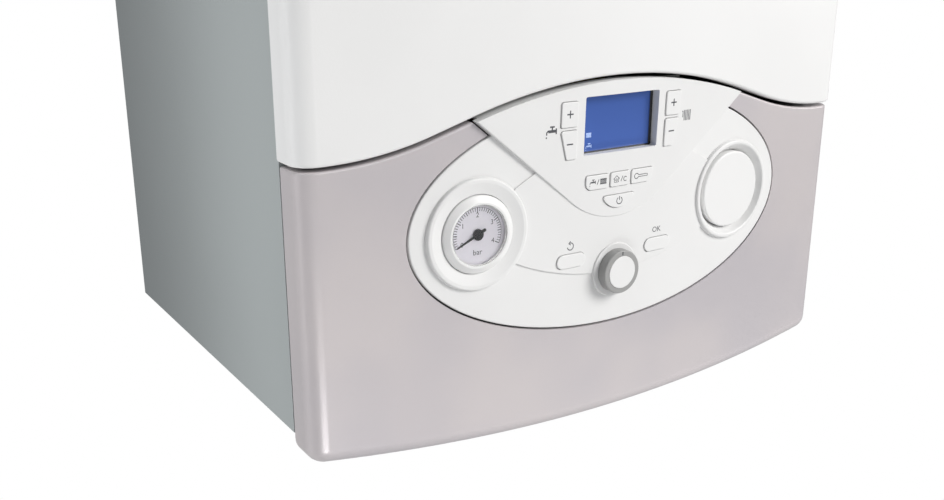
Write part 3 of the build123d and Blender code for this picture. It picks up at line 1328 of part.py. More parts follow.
# ------------------------------------------------------------------ water side
PLATES = 12
PLATES_INSET = 4.0
PLATES_CORNER_R = 6.0
GROOVE = 2.5            # depth of the grooves between the plates
with BuildPart() as plate_exchanger:
    z_low = BLOCK_Z[1] + SEAT
    plates_y = (BLOCK_Y[0] + PLATES_INSET, BLOCK_Y[1] - PLATES_INSET)
    slab((-PLATES_HALF_W, PLATES_HALF_W), plates_y, (z_low, z_low + PLATES_H))
    fillet(plate_exchanger.edges().filter_by(Axis.Z), radius=PLATES_CORNER_R)
    pitch = PLATES_H / PLATES
    depth = plates_y[1] - plates_y[0]
    for i in range(1, PLATES):
        z = z_low + i * pitch
        with BuildSketch(Plane.XY.offset(z - pitch / 5)):
            with Locations((0, (BLOCK_Y[0] + BLOCK_Y[1]) / 2)):
                Rectangle(2 * PLATES_HALF_W, depth)
                Rectangle(
                    2 * (PLATES_HALF_W - GROOVE), depth - 2 * GROOVE, mode=Mode.SUBTRACT
                )
        extrude(amount=pitch / 2.5, mode=Mode.SUBTRACT)
save(plate_exchanger.part, "plate_exchanger")


BLOCK_CORNER_R = 8.0
BLOCK_EDGE_R = 3.0
SPIGOT_R = TAIL_R + 3.0
SPIGOT_L = 6.0
PLUG_R = 11.0
PLUG_H = 8.0


def water_block(side):
    """Cast manifold under one end of the plate exchanger, with hexagon plugs in front."""
    x_span = sorted((side * BLOCK_X[0], side * BLOCK_X[1]))
    with BuildPart() as block:
        slab(x_span, BLOCK_Y, BLOCK_Z)
        fillet(block.edges().filter_by(Axis.Z), radius=BLOCK_CORNER_R)
        fillet(block.faces().sort_by(Axis.Z)[0].edges(), radius=BLOCK_EDGE_R)
        for x in (side * TAIL_PITCH, side * 2 * TAIL_PITCH):
            post(SPIGOT_R, x, TAIL_Y, BLOCK_Z[0] - SPIGOT_L, BLOCK_Z[0] + SPIGOT_L)
            with BuildSketch(front_plane(BLOCK_Y[0])):
                with Locations((x, (BLOCK_Z[0] + BLOCK_Z[1]) / 2)):
                    RegularPolygon(PLUG_R, 6)
            extrude(amount=PLUG_H)
    return block.part


save(water_block(-1), "flow_block")

save(water_block(1), "return_block")

VOLUTE_T = 30.0
PUMP_FOOT_HALF = 24.0
PUMP_PORT_WALL = 4.0
PUMP_PORT_L = 8.0
with BuildPart() as pump_body:
    pump_z = BLOCK_Z[1] + SEAT + PUMP_R
    volute_y = (PUMP_Y[1] - VOLUTE_T, PUMP_Y[1])
    rod(PUMP_R, PUMP_X, pump_z, volute_y[1], volute_y[0])
    foot_x = (PUMP_X - PUMP_FOOT_HALF, PUMP_X + PUMP_FOOT_HALF)
    slab(foot_x, volute_y, (BLOCK_Z[1] + SEAT, pump_z))
    pump_top = pump_z + PUMP_R + PUMP_PORT_L
    post(PIPE_R + PUMP_PORT_WALL, PUMP_X, PUMP_RISER_Y, pump_z, pump_top)
save(pump_body.part, "pump_body")

PUMP_MOTOR_R = PUMP_R - 6.0
PUMP_SCREW_R = 9.0
PUMP_SCREW_H = 3.0
with BuildPart() as pump_motor:
    rod(PUMP_MOTOR_R, PUMP_X, pump_z, volute_y[0] - SEAT, PUMP_Y[0])
    fillet(pump_motor.faces().sort_by(Axis.Y)[0].edges(), radius=MOTOR_EDGE_R)
    rod(PUMP_SCREW_R, PUMP_X, pump_z, PUMP_Y[0] + LAP, PUMP_Y[0] - PUMP_SCREW_H)
save(pump_motor.part, "pump_motor")

DIVERTER_X = -115.0
DIVERTER_R = 17.0
DIVERTER_H = (34.0, 100.0)  # top of its valve and of its motor, above the block
DIVERTER_HALF = (23.0, 25.0)
DIVERTER_EDGE_R = 4.0
with BuildPart() as diverter_valve:
    motor_z = tuple(BLOCK_Z[1] + height for height in DIVERTER_H)
    post(DIVERTER_R, DIVERTER_X, TAIL_Y, BLOCK_Z[1] + SEAT, motor_z[0])
    slab(
        (DIVERTER_X - DIVERTER_HALF[0], DIVERTER_X + DIVERTER_HALF[0]),
        (TAIL_Y - DIVERTER_HALF[1], TAIL_Y + DIVERTER_HALF[1]),
        motor_z,
    )
    fillet(diverter_valve.faces().sort_by(Axis.Z)[-1].edges(), radius=DIVERTER_EDGE_R)
save(diverter_valve.part, "diverter_valve")

RELIEF_Z = (BLOCK_Z[0] + BLOCK_Z[1]) / 2
RELIEF_R = 11.0
RELIEF_L = 26.0
RELIEF_CAP_R = 13.0
RELIEF_CAP_L = 14.0
DRAIN_END_Z = -26.0
with BuildPart() as relief_valve:
    cap_y = RELIEF_Y - RELIEF_L
    rod(RELIEF_R, RELIEF_X, RELIEF_Z, RELIEF_Y, cap_y)
    post(SMALL_PIPE_R, RELIEF_X, RELIEF_Y - RELIEF_DRAIN, DRAIN_END_Z, RELIEF_Z)
    rod(RELIEF_CAP_R, RELIEF_X, RELIEF_Z, cap_y, cap_y - RELIEF_CAP_L)
save(relief_valve.part, "relief_valve")

TAP_R = 12.0
TAP_H = 12.0
TAP_Z = -28.0
with BuildPart() as fill_tap:
    post(SMALL_PIPE_R - 1, FILL_X, TAIL_Y, TAP_Z + TAP_H, BLOCK_Z[0] - SEAT)
    with BuildSketch(Plane.XY.offset(TAP_Z)):
        with Locations((FILL_X, TAIL_Y)):
            RegularPolygon(TAP_R, 8)
    extrude(amount=TAP_H)
save(fill_tap.part, "fill_tap")

# radius and top of the vent's foot, body and nipple
VENT_STEPS = ((8.0, 10.0), (14.0, 44.0), (4.0, 52.0))
with BuildPart() as air_vent:
    vent_z = VENT_BOSS_TOP + SEAT
    low = 0
    for radius, top in VENT_STEPS:
        post(radius, VENT_X, FLOW_RISER_Y, vent_z + low, vent_z + top)
        low = top
save(air_vent.part, "air_vent")

RISER_BEND = 22.0
DOGLEG_BEND = 20.0
DOGLEG_Z = (PORT_Z - 110.0, PORT_Z - 60.0)
port_x = PORT_END + SEAT
flow_route = [
    (-port_x, FLOW_RISER_Y, PORT_Z),
    (-RISER_X, FLOW_RISER_Y, PORT_Z),
    (-RISER_X, FLOW_RISER_Y, BLOCK_Z[1] + SEAT),
]
save(bent_pipe(flow_route, PIPE_R, RISER_BEND), "flow_pipe")

return_route = [
    (PUMP_X, PUMP_RISER_Y, pump_top + SEAT),
    (PUMP_X, PUMP_RISER_Y, DOGLEG_Z[0]),
    (RISER_X, FLOW_RISER_Y, DOGLEG_Z[1]),
    (RISER_X, FLOW_RISER_Y, PORT_Z),
    (port_x, FLOW_RISER_Y, PORT_Z),
]
return_bends = [DOGLEG_BEND, DOGLEG_BEND, RISER_BEND]
save(bent_pipe(return_route, PIPE_R, return_bends), "return_pipe")

TRAP_Z = (-26.0, 150.0)
TRAP_EDGE_R = 6.0
TRAP_NUT_Z = (10.0, 22.0)
TRAP_NUT_RISE = 1.0
TRAP_NECK_TOP = TRAP_Z[1] + 18.0
with BuildPart() as condensate_trap:
    post(TRAP_R, TRAP_X, TRAP_Y, *TRAP_Z)
    fillet(condensate_trap.faces().sort_by(Axis.Z)[0].edges(), radius=TRAP_EDGE_R)
    post(TRAP_R + TRAP_NUT_RISE, TRAP_X, TRAP_Y, *TRAP_NUT_Z)
    post(HOSE_R + DRAIN_WALL, TRAP_X, TRAP_Y, TRAP_Z[1], TRAP_NECK_TOP)
save(condensate_trap.part, "condensate_trap")

with BuildPart() as condensate_hose:
    post(HOSE_R, TRAP_X, TRAP_Y, TRAP_NECK_TOP + SEAT, DRAIN_Z - SEAT)
save(condensate_hose.part, "condensate_hose")

with BuildPart() as pipe_tails:
    for name, place in TAILS.items():
        small = name in ("hot_water", "cold_water")
        outer = TAIL_SMALL_R if small else TAIL_R
        top = BLOCK_Z[0] - SEAT - (SPIGOT_L if place else 0)
        post(outer, place * TAIL_PITCH, TAIL_Y, TAIL_Z, top)
        post(outer - TAIL_WALL, place * TAIL_PITCH, TAIL_Y, TAIL_Z, top, Mode.SUBTRACT)
save(pipe_tails.part, "pipe_tails")
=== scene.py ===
import json
import math

import bmesh
import bpy
from mathutils import Matrix, Vector
from mathutils.bvhtree import BVHTree


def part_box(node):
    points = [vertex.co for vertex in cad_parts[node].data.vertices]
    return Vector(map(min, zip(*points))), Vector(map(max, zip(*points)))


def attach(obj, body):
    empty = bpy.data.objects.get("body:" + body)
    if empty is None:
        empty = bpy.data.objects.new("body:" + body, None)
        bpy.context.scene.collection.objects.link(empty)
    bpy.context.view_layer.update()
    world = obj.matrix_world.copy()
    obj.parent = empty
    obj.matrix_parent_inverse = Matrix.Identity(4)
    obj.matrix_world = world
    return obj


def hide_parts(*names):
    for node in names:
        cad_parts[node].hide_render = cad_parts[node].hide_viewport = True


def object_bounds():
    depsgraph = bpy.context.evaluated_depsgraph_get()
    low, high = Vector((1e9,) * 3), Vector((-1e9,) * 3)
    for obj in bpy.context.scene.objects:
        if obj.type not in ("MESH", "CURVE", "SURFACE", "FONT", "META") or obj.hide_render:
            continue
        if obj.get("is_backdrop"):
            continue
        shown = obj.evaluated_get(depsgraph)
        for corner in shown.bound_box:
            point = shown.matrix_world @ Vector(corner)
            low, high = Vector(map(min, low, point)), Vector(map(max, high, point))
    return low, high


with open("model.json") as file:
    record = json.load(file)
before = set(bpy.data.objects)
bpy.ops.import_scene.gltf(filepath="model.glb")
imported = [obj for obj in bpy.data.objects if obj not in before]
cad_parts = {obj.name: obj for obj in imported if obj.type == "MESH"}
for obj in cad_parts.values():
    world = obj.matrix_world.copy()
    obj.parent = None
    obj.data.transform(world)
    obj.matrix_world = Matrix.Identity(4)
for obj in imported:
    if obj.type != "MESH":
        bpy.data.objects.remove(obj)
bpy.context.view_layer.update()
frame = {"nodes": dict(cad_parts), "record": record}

# ---------------------------------------------------------------- camera, lamps and backdrop
# The camera stands about half a metre in front of the boiler, off to its left, and looks down at
# its lower part, so the top is out of the picture. The pale floor lies well below the boiler,
# because a boiler hangs on a wall.
photo_width = 944
principal_row = 21.1  # how far the optical axis lies below the middle of the picture, in pixels
look_down, look_right = 18.20, 32.89  # degrees
camera_data = bpy.data.cameras.new("camera")
camera_data.sensor_width = 36
camera_data.lens = 40.29
camera_data.shift_y = principal_row / photo_width
camera = bpy.data.objects.new("camera", camera_data)
camera.location = (-0.4064, -0.7844, 0.2708)
camera.rotation_euler = (math.radians(90 - look_down), 0, math.radians(-look_right))
bpy.context.scene.collection.objects.link(camera)
bpy.context.scene.camera = camera
bpy.context.scene.view_settings.view_transform = "Standard"


def softbox(name, place, aim, width, height, watts, colour=(1, 1, 1), mirrored=True):
    """A rectangular studio lamp at a place in metres, turned to a point, and mirrored or not."""
    data = bpy.data.lights.new(name, "AREA")
    data.shape = "RECTANGLE"
    data.size, data.size_y = width, height
    data.energy = watts
    data.color = colour
    lamp = bpy.data.objects.new(name, data)
    lamp.location = place
    lamp.rotation_euler = (Vector(aim) - Vector(place)).to_track_quat("-Z", "Y").to_euler()
    lamp.visible_glossy = mirrored
    bpy.context.scene.collection.objects.link(lamp)


# The key lamp stands far off to the upper right. The three weak ones light the control panel
# from its right, the left side panel, and the lower left corner of the fascia.
softbox("key_right", (1.92, -2.67, 1.85), (0, -0.3, 0.2), 1.6, 1.6, 113, (1, 0.985, 0.97))
softbox("side_right", (1.6, -1.3, 0.5), (0.05, -0.3, 0.1), 0.8, 0.7, 3)
softbox("fill_left", (-0.4, -0.27, 0.2), (-0.2, -0.22, 0.2), 0.05, 0.8, 0.72, mirrored=False)
softbox("strip_low_left", (-0.36, -1.08, -0.56), (-0.19, -0.3, 0), 0.5, 0.26, 2.3)


class Wire:
    """The output of a node, with arithmetic that adds the Math nodes."""

    def __init__(self, nodes, socket):
        self.nodes, self.socket = nodes, socket

    def maths(self, operation, *values):
        return self.nodes.node("Math", {"operation": operation}, dict(enumerate(values)))

    def __add__(self, other):
        return self.maths("ADD", self, other)

    def __sub__(self, other):
        return self.maths("SUBTRACT", self, other)

    def __rsub__(self, other):
        return self.maths("SUBTRACT", other, self)

    def __mul__(self, other):
        return self.maths("MULTIPLY", self, other)

    def __abs__(self):
        return self.maths("ABSOLUTE", self)

    __radd__, __rmul__ = __add__, __mul__


class Nodes:
    """The nodes of a material or of the world, and one method that adds any other."""

    def __init__(self, owner):
        owner.use_nodes = True
        self.tree = owner.node_tree

    def feed(self, socket, value):
        """Put a value or a link into a socket."""
        if isinstance(value, Wire):
            self.tree.links.new(value.socket, socket)
        elif socket.type == "RGBA":
            socket.default_value = (*value, 1)
        else:
            socket.default_value = value

    def node(self, kind, settings=(), values=(), output=0):
        """Any node: its type, its settings, and the values or links of its sockets."""
        made = self.tree.nodes.new("ShaderNode" + kind)
        for key, value in dict(settings).items():
            setattr(made, key, value)
        for key, value in dict(values).items():
            self.feed(made.inputs[key], value)
        return Wire(self, made.outputs[output])

    def show(self, end, factor, first, second):
        """Let the node at the tree's end show a mix of two shaders."""
        both = self.node("MixShader", values={0: factor, 1: first, 2: second})
        self.feed(self.tree.nodes[end].inputs["Surface"], both)


class Finish(Nodes):
    """A material: the values of its shader, and the patterns that feed them."""

    def __init__(self, name, colour, roughness, metallic=0.0, **sockets):
        self.material = bpy.data.materials.new(name)
        super().__init__(self.material)
        shader = self.tree.nodes["Principled BSDF"]
        self.lit = Wire(self, shader.outputs[0])
        self.sockets = {socket.name.lower().replace(" ", "_"): socket for socket in shader.inputs}
        self.place = self.node("TexCoord", output="Object")
        self.colour = colour
        self.set(base_color=colour, roughness=roughness, metallic=metallic, **sockets)

    def set(self, **sockets):
        """Give sockets of the shader, by their names in small letters."""
        for key, value in sockets.items():
            self.feed(self.sockets[key], value)

    def noise(self, size, detail=2.0, stretch=(1, 1, 1)):
        """Cloudy noise with features of a size in millimetres."""
        place = self.place
        if stretch != (1, 1, 1):
            place = self.node("Mapping", values={"Vector": place, "Scale": stretch})
        values = {"Vector": place, "Scale": 1000 / size, "Detail": detail}
        return self.node("TexNoise", values=values)

    def between(self, factor, low, high):
        """Two colours mixed by a factor."""
        return self.node("Mix", {"data_type": "RGBA"}, {0: factor, 6: low, 7: high}, output=2)

    def rise(self, value, low, high):
        """0 at one value and before it, 1 at another and past it."""
        values = {"Value": value, "From Min": low, "From Max": high}
        return self.node("MapRange", {"interpolation_type": "SMOOTHSTEP"}, values)

    def bump(self, height, depth):
        """Let a height move the shading, with a depth in millimetres."""
        values = {"Height": height, "Distance": depth / 1000}
        self.set(normal=self.node("Bump", values=values))

    def mottle(self, amount, size):
        """Vary the colour a little, lighter and darker, over patches of a size."""
        darker = tuple(c * (1 - amount) for c in self.colour)
        lighter = tuple(min(1, c * (1 + amount)) for c in self.colour)
        spread = self.rise(self.noise(size, 3), 0.35, 0.65)
        self.set(base_color=self.between(spread, darker, lighter))


# The world is a dim room that lights the boiler, and plain white where the camera looks at it
# directly or through the gauge's lens.
world = bpy.data.worlds.new("studio")
bpy.context.scene.world = world
sky = Nodes(world)
room = sky.node("Background", values={"Color": (0.95, 0.97, 1.0), "Strength": 0.28})
white = sky.node("Background", values={"Color": (1, 1, 1), "Strength": 1})
from_camera = sky.node("LightPath", output="Is Camera Ray")
through_lens = sky.node("LightPath", output="Is Transmission Ray")
straight = sky.node("Math", {"operation": "MAXIMUM"}, {0: from_camera, 1: through_lens})
sky.show("World Output", straight, room, white)

floor_drop, floor_half = 1.3, 5  # metres
ground = bmesh.new()
bmesh.ops.create_grid(ground, x_segments=1, y_segments=1, size=floor_half)
bmesh.ops.translate(ground, verts=ground.verts, vec=(0, 0, -floor_drop))
floor_mesh = bpy.data.meshes.new("floor")
ground.to_mesh(floor_mesh)
ground.free()
floor = bpy.data.objects.new("floor", floor_mesh)
bpy.context.scene.collection.objects.link(floor)
floor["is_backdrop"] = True
pale = Finish("pale_floor", (0.8, 0.8, 0.8), 0.7)
glow = pale.node("Emission", values={"Strength": 1})
pale.show("Material Output", pale.node("LightPath", output="Is Camera Ray"), pale.lit, glow)
floor_mesh.materials.append(pale.material)

# ---------------------------------------------------------------- frame and bracket
# Zinc-coated sheet, folded and pressed, with the flaky grain of hot-dip coating. The frame hangs
# on the wall bracket. Screws stand in its plate and under the floor of the chamber.
galvanised = Finish("galvanised_sheet", (0.55, 0.56, 0.57), 0.42, 0.85)
flakes = galvanised.node(
    "TexVoronoi", values={"Vector": galvanised.place, "Scale": 140}, output="Color"
)
galvanised.set(
    base_color=galvanised.between(flakes, (0.42, 0.43, 0.44), (0.64, 0.65, 0.66)),
    roughness=galvanised.noise(9, 3) * 0.16 + 0.34,
)


def dress(finish, *names):
    """Give CAD pieces a finish, with their shapes as they are."""
    for name in names:
        frame["nodes"][name].material_slots[0].material = finish.material


dress(galvanised, "rear_frame", "wall_bracket", "bottom_plate", "chamber_floor", "hinge_lugs")
dress(galvanised, "exchanger_brackets")


def add_piece(name, mesh, finish, body, smooth_below=35):
    """Make a bmesh in metres an object that rides on a body."""
    bmesh.ops.recalc_face_normals(mesh, faces=mesh.faces)
    limit = math.radians(smooth_below)
    for face in mesh.faces:
        face.smooth = True
    for edge in mesh.edges:
        edge.smooth = edge.calc_face_angle(math.pi) < limit
    data = bpy.data.meshes.new(name)
    mesh.to_mesh(data)
    mesh.free()
    piece = bpy.data.objects.new(name, data)
    bpy.context.scene.collection.objects.link(piece)
    data.materials.append(finish.material)
    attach(piece, body)
    return piece


def stand(mesh, at, along):
    """Turn an upright bmesh to point another way, and move its foot to a place in millimetres."""
    turn = Vector(along).to_track_quat("Z", "X").to_matrix().to_4x4()
    place = Matrix.Translation(Vector(at) / 1000)
    bmesh.ops.transform(mesh, matrix=place @ turn, verts=mesh.verts)
    return mesh


def lathe(profile, at=(0, 0, 0), along=(0, 0, 1), steps=32):
    """Turned shape from (radius, height) points in millimetres, standing at a place."""
    mesh = bmesh.new()
    outline = [mesh.verts.new((r / 1000, 0, h / 1000)) for r, h in profile]
    edges = [mesh.edges.new(pair) for pair in zip(outline, outline[1:])]
    bmesh.ops.spin(
        mesh,
        geom=outline + edges,
        cent=(0, 0, 0),
        axis=(0, 0, 1),
        angle=math.tau,
        steps=steps,
        use_merge=True,
    )
    bmesh.ops.remove_doubles(mesh, verts=mesh.verts, dist=1e-6)
    return stand(mesh, at, along)


def join(meshes):
    """Several bmeshes as one."""
    whole = bmesh.new()
    for mesh in meshes:
        part = bpy.data.meshes.new("part")
        mesh.to_mesh(part)
        mesh.free()
        whole.from_mesh(part)
        bpy.data.meshes.remove(part)
    return whole


def block(x, y, z, bevel=0.0, segments=2):
    """Box between two limits on each axis, in millimetres, with rounded edges."""
    mesh = bmesh.new()
    bmesh.ops.create_cube(mesh, size=0.001)
    low, high = Vector((x[0], y[0], z[0])), Vector((x[1], y[1], z[1]))
    bmesh.ops.scale(mesh, verts=mesh.verts, vec=high - low)
    bmesh.ops.translate(mesh, verts=mesh.verts, vec=(low + high) / 2000)
    if bevel:
        bmesh.ops.bevel(
            mesh,
            geom=mesh.edges[:],
            affect="EDGES",
            offset=bevel / 1000,
            segments=segments,
            profile=0.5,
            material=-1,
        )
    return mesh


def pan_screw(at, along, radius=3.8):
    """Domed screw head with a raised cross, seated on a face."""
    head = lathe(
        [(0, 0), (radius, 0), (radius, 0.9), (radius * 0.8, 1.9), (radius * 0.42, 2.3), (0, 2.4)],
        steps=24,
    )
    long, short = radius * 0.55, radius * 0.12
    arms = []
    for x, y in ((long, short), (short, long)):
        arms.append(block((-x, x), (-y, y), (2.32, 2.46), 0.05, 1))
    return stand(join([head, *arms]), at, along)


surfaces = {}
for name, node in frame["nodes"].items():
    searched = bmesh.new()
    searched.from_mesh(node.data)
    surfaces[name] = BVHTree.FromBMesh(searched)
    searched.free()


def seat(node, start, aim=(0, 1, 0)):
    """Where a ray from a point in millimetres meets a piece, and the way its face points."""
    hit, normal, *_ = surfaces[node].ray_cast(Vector(start) / 1000, Vector(aim))
    return hit * 1000, normal


body_of = {
    node: body
    for body, nodes in frame["record"]["behaviour"]["bodies"].items()
    for node in nodes
}
zinc = Finish("zinc_plated_screw", (0.62, 0.62, 0.6), 0.34, 1.0)
zinc.mottle(0.08, 3)


def screws(name, node, starts, aim=(0, 1, 0), radius=3.8):
    """Screws on a piece, where rays from some points meet it."""
    heads = [pan_screw(*seat(node, start, aim), radius) for start in starts]
    add_piece(name, join(heads), zinc, body_of[node])


in_front, behind_lid = -400, 0  # places on y that lie before every piece, and behind the lid
screws("frame_screws", "rear_frame", [(x, in_front, z) for x in (-60, 60) for z in (300, 120)])
under_floor = 190
floor_starts = [(x, -40, under_floor) for x in (-150, 0, 150)]
screws("floor_screws", "chamber_floor", floor_starts, (0, 0, 1))

# ---------------------------------------------------------------- side panels and top
# Folded sheets of 1 mm steel, powder-coated light grey before assembly. The side panels' flanges
# turn in behind the cover and along the wall, and two screws near the top hold each panel.


def powder_coat(name, colour, roughness, depth):
    """Baked powder paint: a fine orange peel and a faint change of tone."""
    paint = Finish(name, colour, roughness, coat_weight=0.12, coat_roughness=0.3)
    paint.mottle(0.015, 140)
    peel = paint.noise(1.1, 1)
    paint.bump(peel, depth)
    paint.set(roughness=peel * 0.06 + (roughness - 0.03))
    return paint


side_paint = powder_coat("side_paint", (0.375, 0.405, 0.405), 0.46, 0.03)
dress(side_paint, "side_panel_left", "side_panel_right", "top_panel")
panel_x, screw_z = 200, 744
side_screws = [
    pan_screw((side * panel_x, y, screw_z), (side, 0, 0)) for side in (-1, 1) for y in (-30, -240)
]
add_piece("side_screws", join(side_screws), zinc, "casing")


def middle(node):
    """The middle of a CAD piece, to a tenth of a millimetre."""
    low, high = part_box(node)
    return [round((a + b) * 500, 1) for a, b in zip(low, high)]


def smooth_copy(node, finish, smooth_below=32, bevel=0.0):
    """A CAD piece with its loose triangles joined and shaded smooth, which stands for it."""
    mesh = bmesh.new()
    mesh.from_mesh(frame["nodes"][node].data)
    bmesh.ops.remove_doubles(mesh, verts=mesh.verts, dist=1e-6)
    bmesh.ops.dissolve_degenerate(mesh, edges=mesh.edges, dist=1e-7)
    piece = add_piece(node + "_finished", mesh, finish, body_of[node], smooth_below)
    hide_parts(node)
    if bevel:
        rounding = piece.modifiers.new("edges", "BEVEL")
        rounding.width = bevel / 1000
        rounding.segments = 2
        rounding.limit_method = "ANGLE"
        rounding.angle_limit = math.radians(40)
        rounding.harden_normals = True
    else:
        weighted = piece.modifiers.new("weighted", "WEIGHTED_NORMAL")
        weighted.keep_sharp = True


def satin_plastic(name, colour, roughness=0.42, grain=0.7, depth=0.012):
    """Moulded plastic: a fine even texture, and gloss that varies a little with it."""
    plastic = Finish(name, colour, roughness)
    plastic.mottle(0.012, 60)
    texture = plastic.noise(grain, 2)
    plastic.bump(texture, depth)
    plastic.set(roughness=texture * 0.12 + (roughness - 0.06))
    return plastic


flue_x, flue_y, _ = middle("flue_duct")
flue_white = satin_plastic("flue_white", (0.72, 0.72, 0.69), 0.5)
smooth_copy("flue_collar", flue_white)
smooth_copy("flue_duct", flue_white)
rubber = Finish("black_rubber", (0.018, 0.018, 0.019), 0.62)
rubber.mottle(0.25, 6)
rubber.bump(rubber.noise(0.6, 2), 0.03)
seal_z = 800.4
seal = lathe(
    [(30.3, 0), (32.4, 0), (32.9, 1.2), (32.4, 2.4), (30.3, 2.4), (30.3, 0)],
    (flue_x, flue_y, seal_z),
    steps=48,
)
add_piece("flue_seal", seal, rubber, "casing")
flange_top, screw_circle_r = 772.5, 57
collar_screws = []
for quarter in range(4):
    turn = math.radians(45 + 90 * quarter)
    x, y = flue_x + screw_circle_r * math.cos(turn), flue_y + screw_circle_r * math.sin(turn)
    collar_screws.append(pan_screw((x, y, flange_top), (0, 0, 1), 3.4))
add_piece("collar_screws", join(collar_screws), zinc, "casing")

# ---------------------------------------------------------------- expansion vessel
# Flat round vessel of pressed steel in red enamel, with the two shells rolled together at the
# rim. Its air valve has a black dust cap.
enamel = Finish("red_enamel", (0.42, 0.02, 0.014), 0.3, coat_weight=0.4, coat_roughness=0.12)
enamel.mottle(0.06, 40)
enamel.bump(enamel.noise(2.5, 2), 0.03)
enamel.set(roughness=enamel.noise(18, 3) * 0.14 + 0.24)
smooth_copy("expansion_vessel", enamel)
air_valve_z = 560
at, out = seat("expansion_vessel", (0, in_front, air_valve_z))
dust_cap = lathe([(0, 0), (6.5, 0), (6.5, 7.5), (5.6, 9), (0, 9)], at, out, 24)
add_piece("vessel_valve_cap", dust_cap, rubber, "casing")

# ---------------------------------------------------------------- heat exchanger
# Cast aluminium chamber with a ribbed shell, closed by the burner door, which a ring of nuts
# holds. The door carries the ignition electrode on its right and a sight glass on its left.
casting = Finish("cast_aluminium", (0.5, 0.5, 0.51), 0.5, 0.8)
casting.mottle(0.08, 20)
casting.bump(casting.noise(1.4, 3), 0.12)
casting.set(roughness=casting.noise(5, 3) * 0.2 + 0.42)
smooth_copy("heat_exchanger", casting)
smooth_copy("burner_door", casting)
fitting_x, fitting_z = 58, 560
ceramic = Finish("white_ceramic", (0.8, 0.78, 0.74), 0.25, coat_weight=0.5)
ceramic.mottle(0.03, 4)
at, out = seat("burner_door", (fitting_x, in_front, fitting_z))
electrode = lathe(
    [(0, 0), (6, 0), (6, 3), (3.4, 4.5), (3.4, 19), (2.4, 20.5), (1.2, 21), (1.2, 25), (0, 25)],
    at,
    out,
    24,
)
add_piece("ignition_electrode", electrode, ceramic, "casing")
brass = Finish("brass", (0.66, 0.49, 0.22), 0.3, 1.0)
brass.mottle(0.1, 12)
brass.bump(brass.noise(0.8, 2), 0.012)
brass.set(roughness=brass.noise(7, 3) * 0.2 + 0.22)
at, out = seat("burner_door", (-fitting_x, in_front, fitting_z))
sight_glass = lathe(
    [(0, 1.2), (4.5, 1.2), (4.8, 3.4), (8, 3.4), (8.6, 2.8), (8.6, 0), (0, 0)], at, out
)
add_piece("sight_glass_ring", sight_glass, brass, "casing")

# ---------------------------------------------------------------- fan, venturi and gas valve
# The fan's cast spiral has a plastic impeller, with the motor behind it. The venturi draws gas
# into the air at its mouth. The valve has two black coils and a plug for its wires.
fan_x, _, fan_z = middle("fan_impeller")
valve_x, _, valve_z = middle("gas_valve")
black_plastic = satin_plastic("black_plastic", (0.025, 0.025, 0.027), 0.5, 0.9, 0.02)
white_nylon = satin_plastic("white_nylon", (0.66, 0.65, 0.6), 0.5)
smooth_copy("fan_housing", casting)
for name in ("fan_impeller", "fan_motor", "venturi"):
    smooth_copy(name, black_plastic)
rim_screw_r, rim_starts = 61, []
for turn in map(math.radians, (30, 150, 210, 270, 330)):
    x, z = fan_x + rim_screw_r * math.cos(turn), fan_z + rim_screw_r * math.sin(turn)
    rim_starts.append((x, in_front, z))
screws("fan_screws", "fan_housing", rim_starts, radius=3.2)
plug_y, plug_z = (-214, -200), (350.5, 360)  # on top of the motor
fan_plug = block((fan_x - 10, fan_x + 10), plug_y, plug_z, 0.8)
add_piece("fan_plug", fan_plug, white_nylon, "casing")
smooth_copy("gas_valve", casting, bevel=0.4)
coil_x, coil_y, coil_rise = valve_x + 10, -200, 24
sleeve = [(0, 27), (12.5, 27), (15.4, 25.5), (15.4, 2), (0, 2)]
coils = []
for z in (valve_z - coil_rise, valve_z + coil_rise):
    coils.append(lathe(sleeve, (coil_x, coil_y, z), (0, -1, 0)))
plug_x, plug_y, plug_z = (coil_x - 9, coil_x + 9), (-222, -206), (valve_z - 10, valve_z + 10)
valve_plug = block(plug_x, plug_y, plug_z, 1.0)
add_piece("valve_coils", join([*coils, valve_plug]), black_plastic, "casing")

# ---------------------------------------------------------------- pipes
# Bent copper tube, dulled by handling and by the heat, with brass union nuts at the feet. The
# tails below are brass, three of three-quarter inch and two of half inch, with cut threads.
copper = Finish("copper_tube", (0.7, 0.36, 0.22), 0.3, 1.0)
patches = copper.rise(copper.noise(35, 4), 0.4, 0.65)
copper.set(
    base_color=copper.between(patches, (0.72, 0.38, 0.24), (0.46, 0.23, 0.13)),
    roughness=copper.noise(12, 3) * 0.2 + 0.24,
)
_, tail_y, _ = middle("pipe_tails")
for name in ("gas_pipe", "flow_pipe", "return_pipe"):
    smooth_copy(name, copper, 40)
smooth_copy("pipe_tails", brass)


def union_nut(foot, radius, height=11):
    """Six-sided nut round the foot of an upright pipe."""
    side = [(0, 0), (radius, 0), (radius, height * 0.85), (radius * 0.9, height), (0, height)]
    return lathe(side, foot, steps=6)


gas_foot, flow_foot, return_foot = (0, tail_y, 12.4), (-160, -140, 50.6), (142, -110, 146.8)
nuts = [union_nut(gas_foot, 17), union_nut(flow_foot, 14.5), union_nut(return_foot, 14.5)]
add_piece("union_nuts", join(nuts), brass, "casing")
half_inch_r, three_quarter_r = 10.4, 13.2
tail_gap, thread_foot, thread_turns, thread_pitch = 65, -41, 9, 1.8
threads = []
for step in range(-2, 3):
    radius = half_inch_r if step % 2 else three_quarter_r
    saw = []
    for turn in range(thread_turns):
        low = turn * thread_pitch
        saw += [(radius - 0.1, low), (radius + 0.5, low + thread_pitch / 2)]
    saw.append((radius - 0.1, thread_turns * thread_pitch))
    threads.append(lathe(saw, (step * tail_gap, tail_y, thread_foot), steps=40))
add_piece("tail_threads", join(threads), brass, "casing")

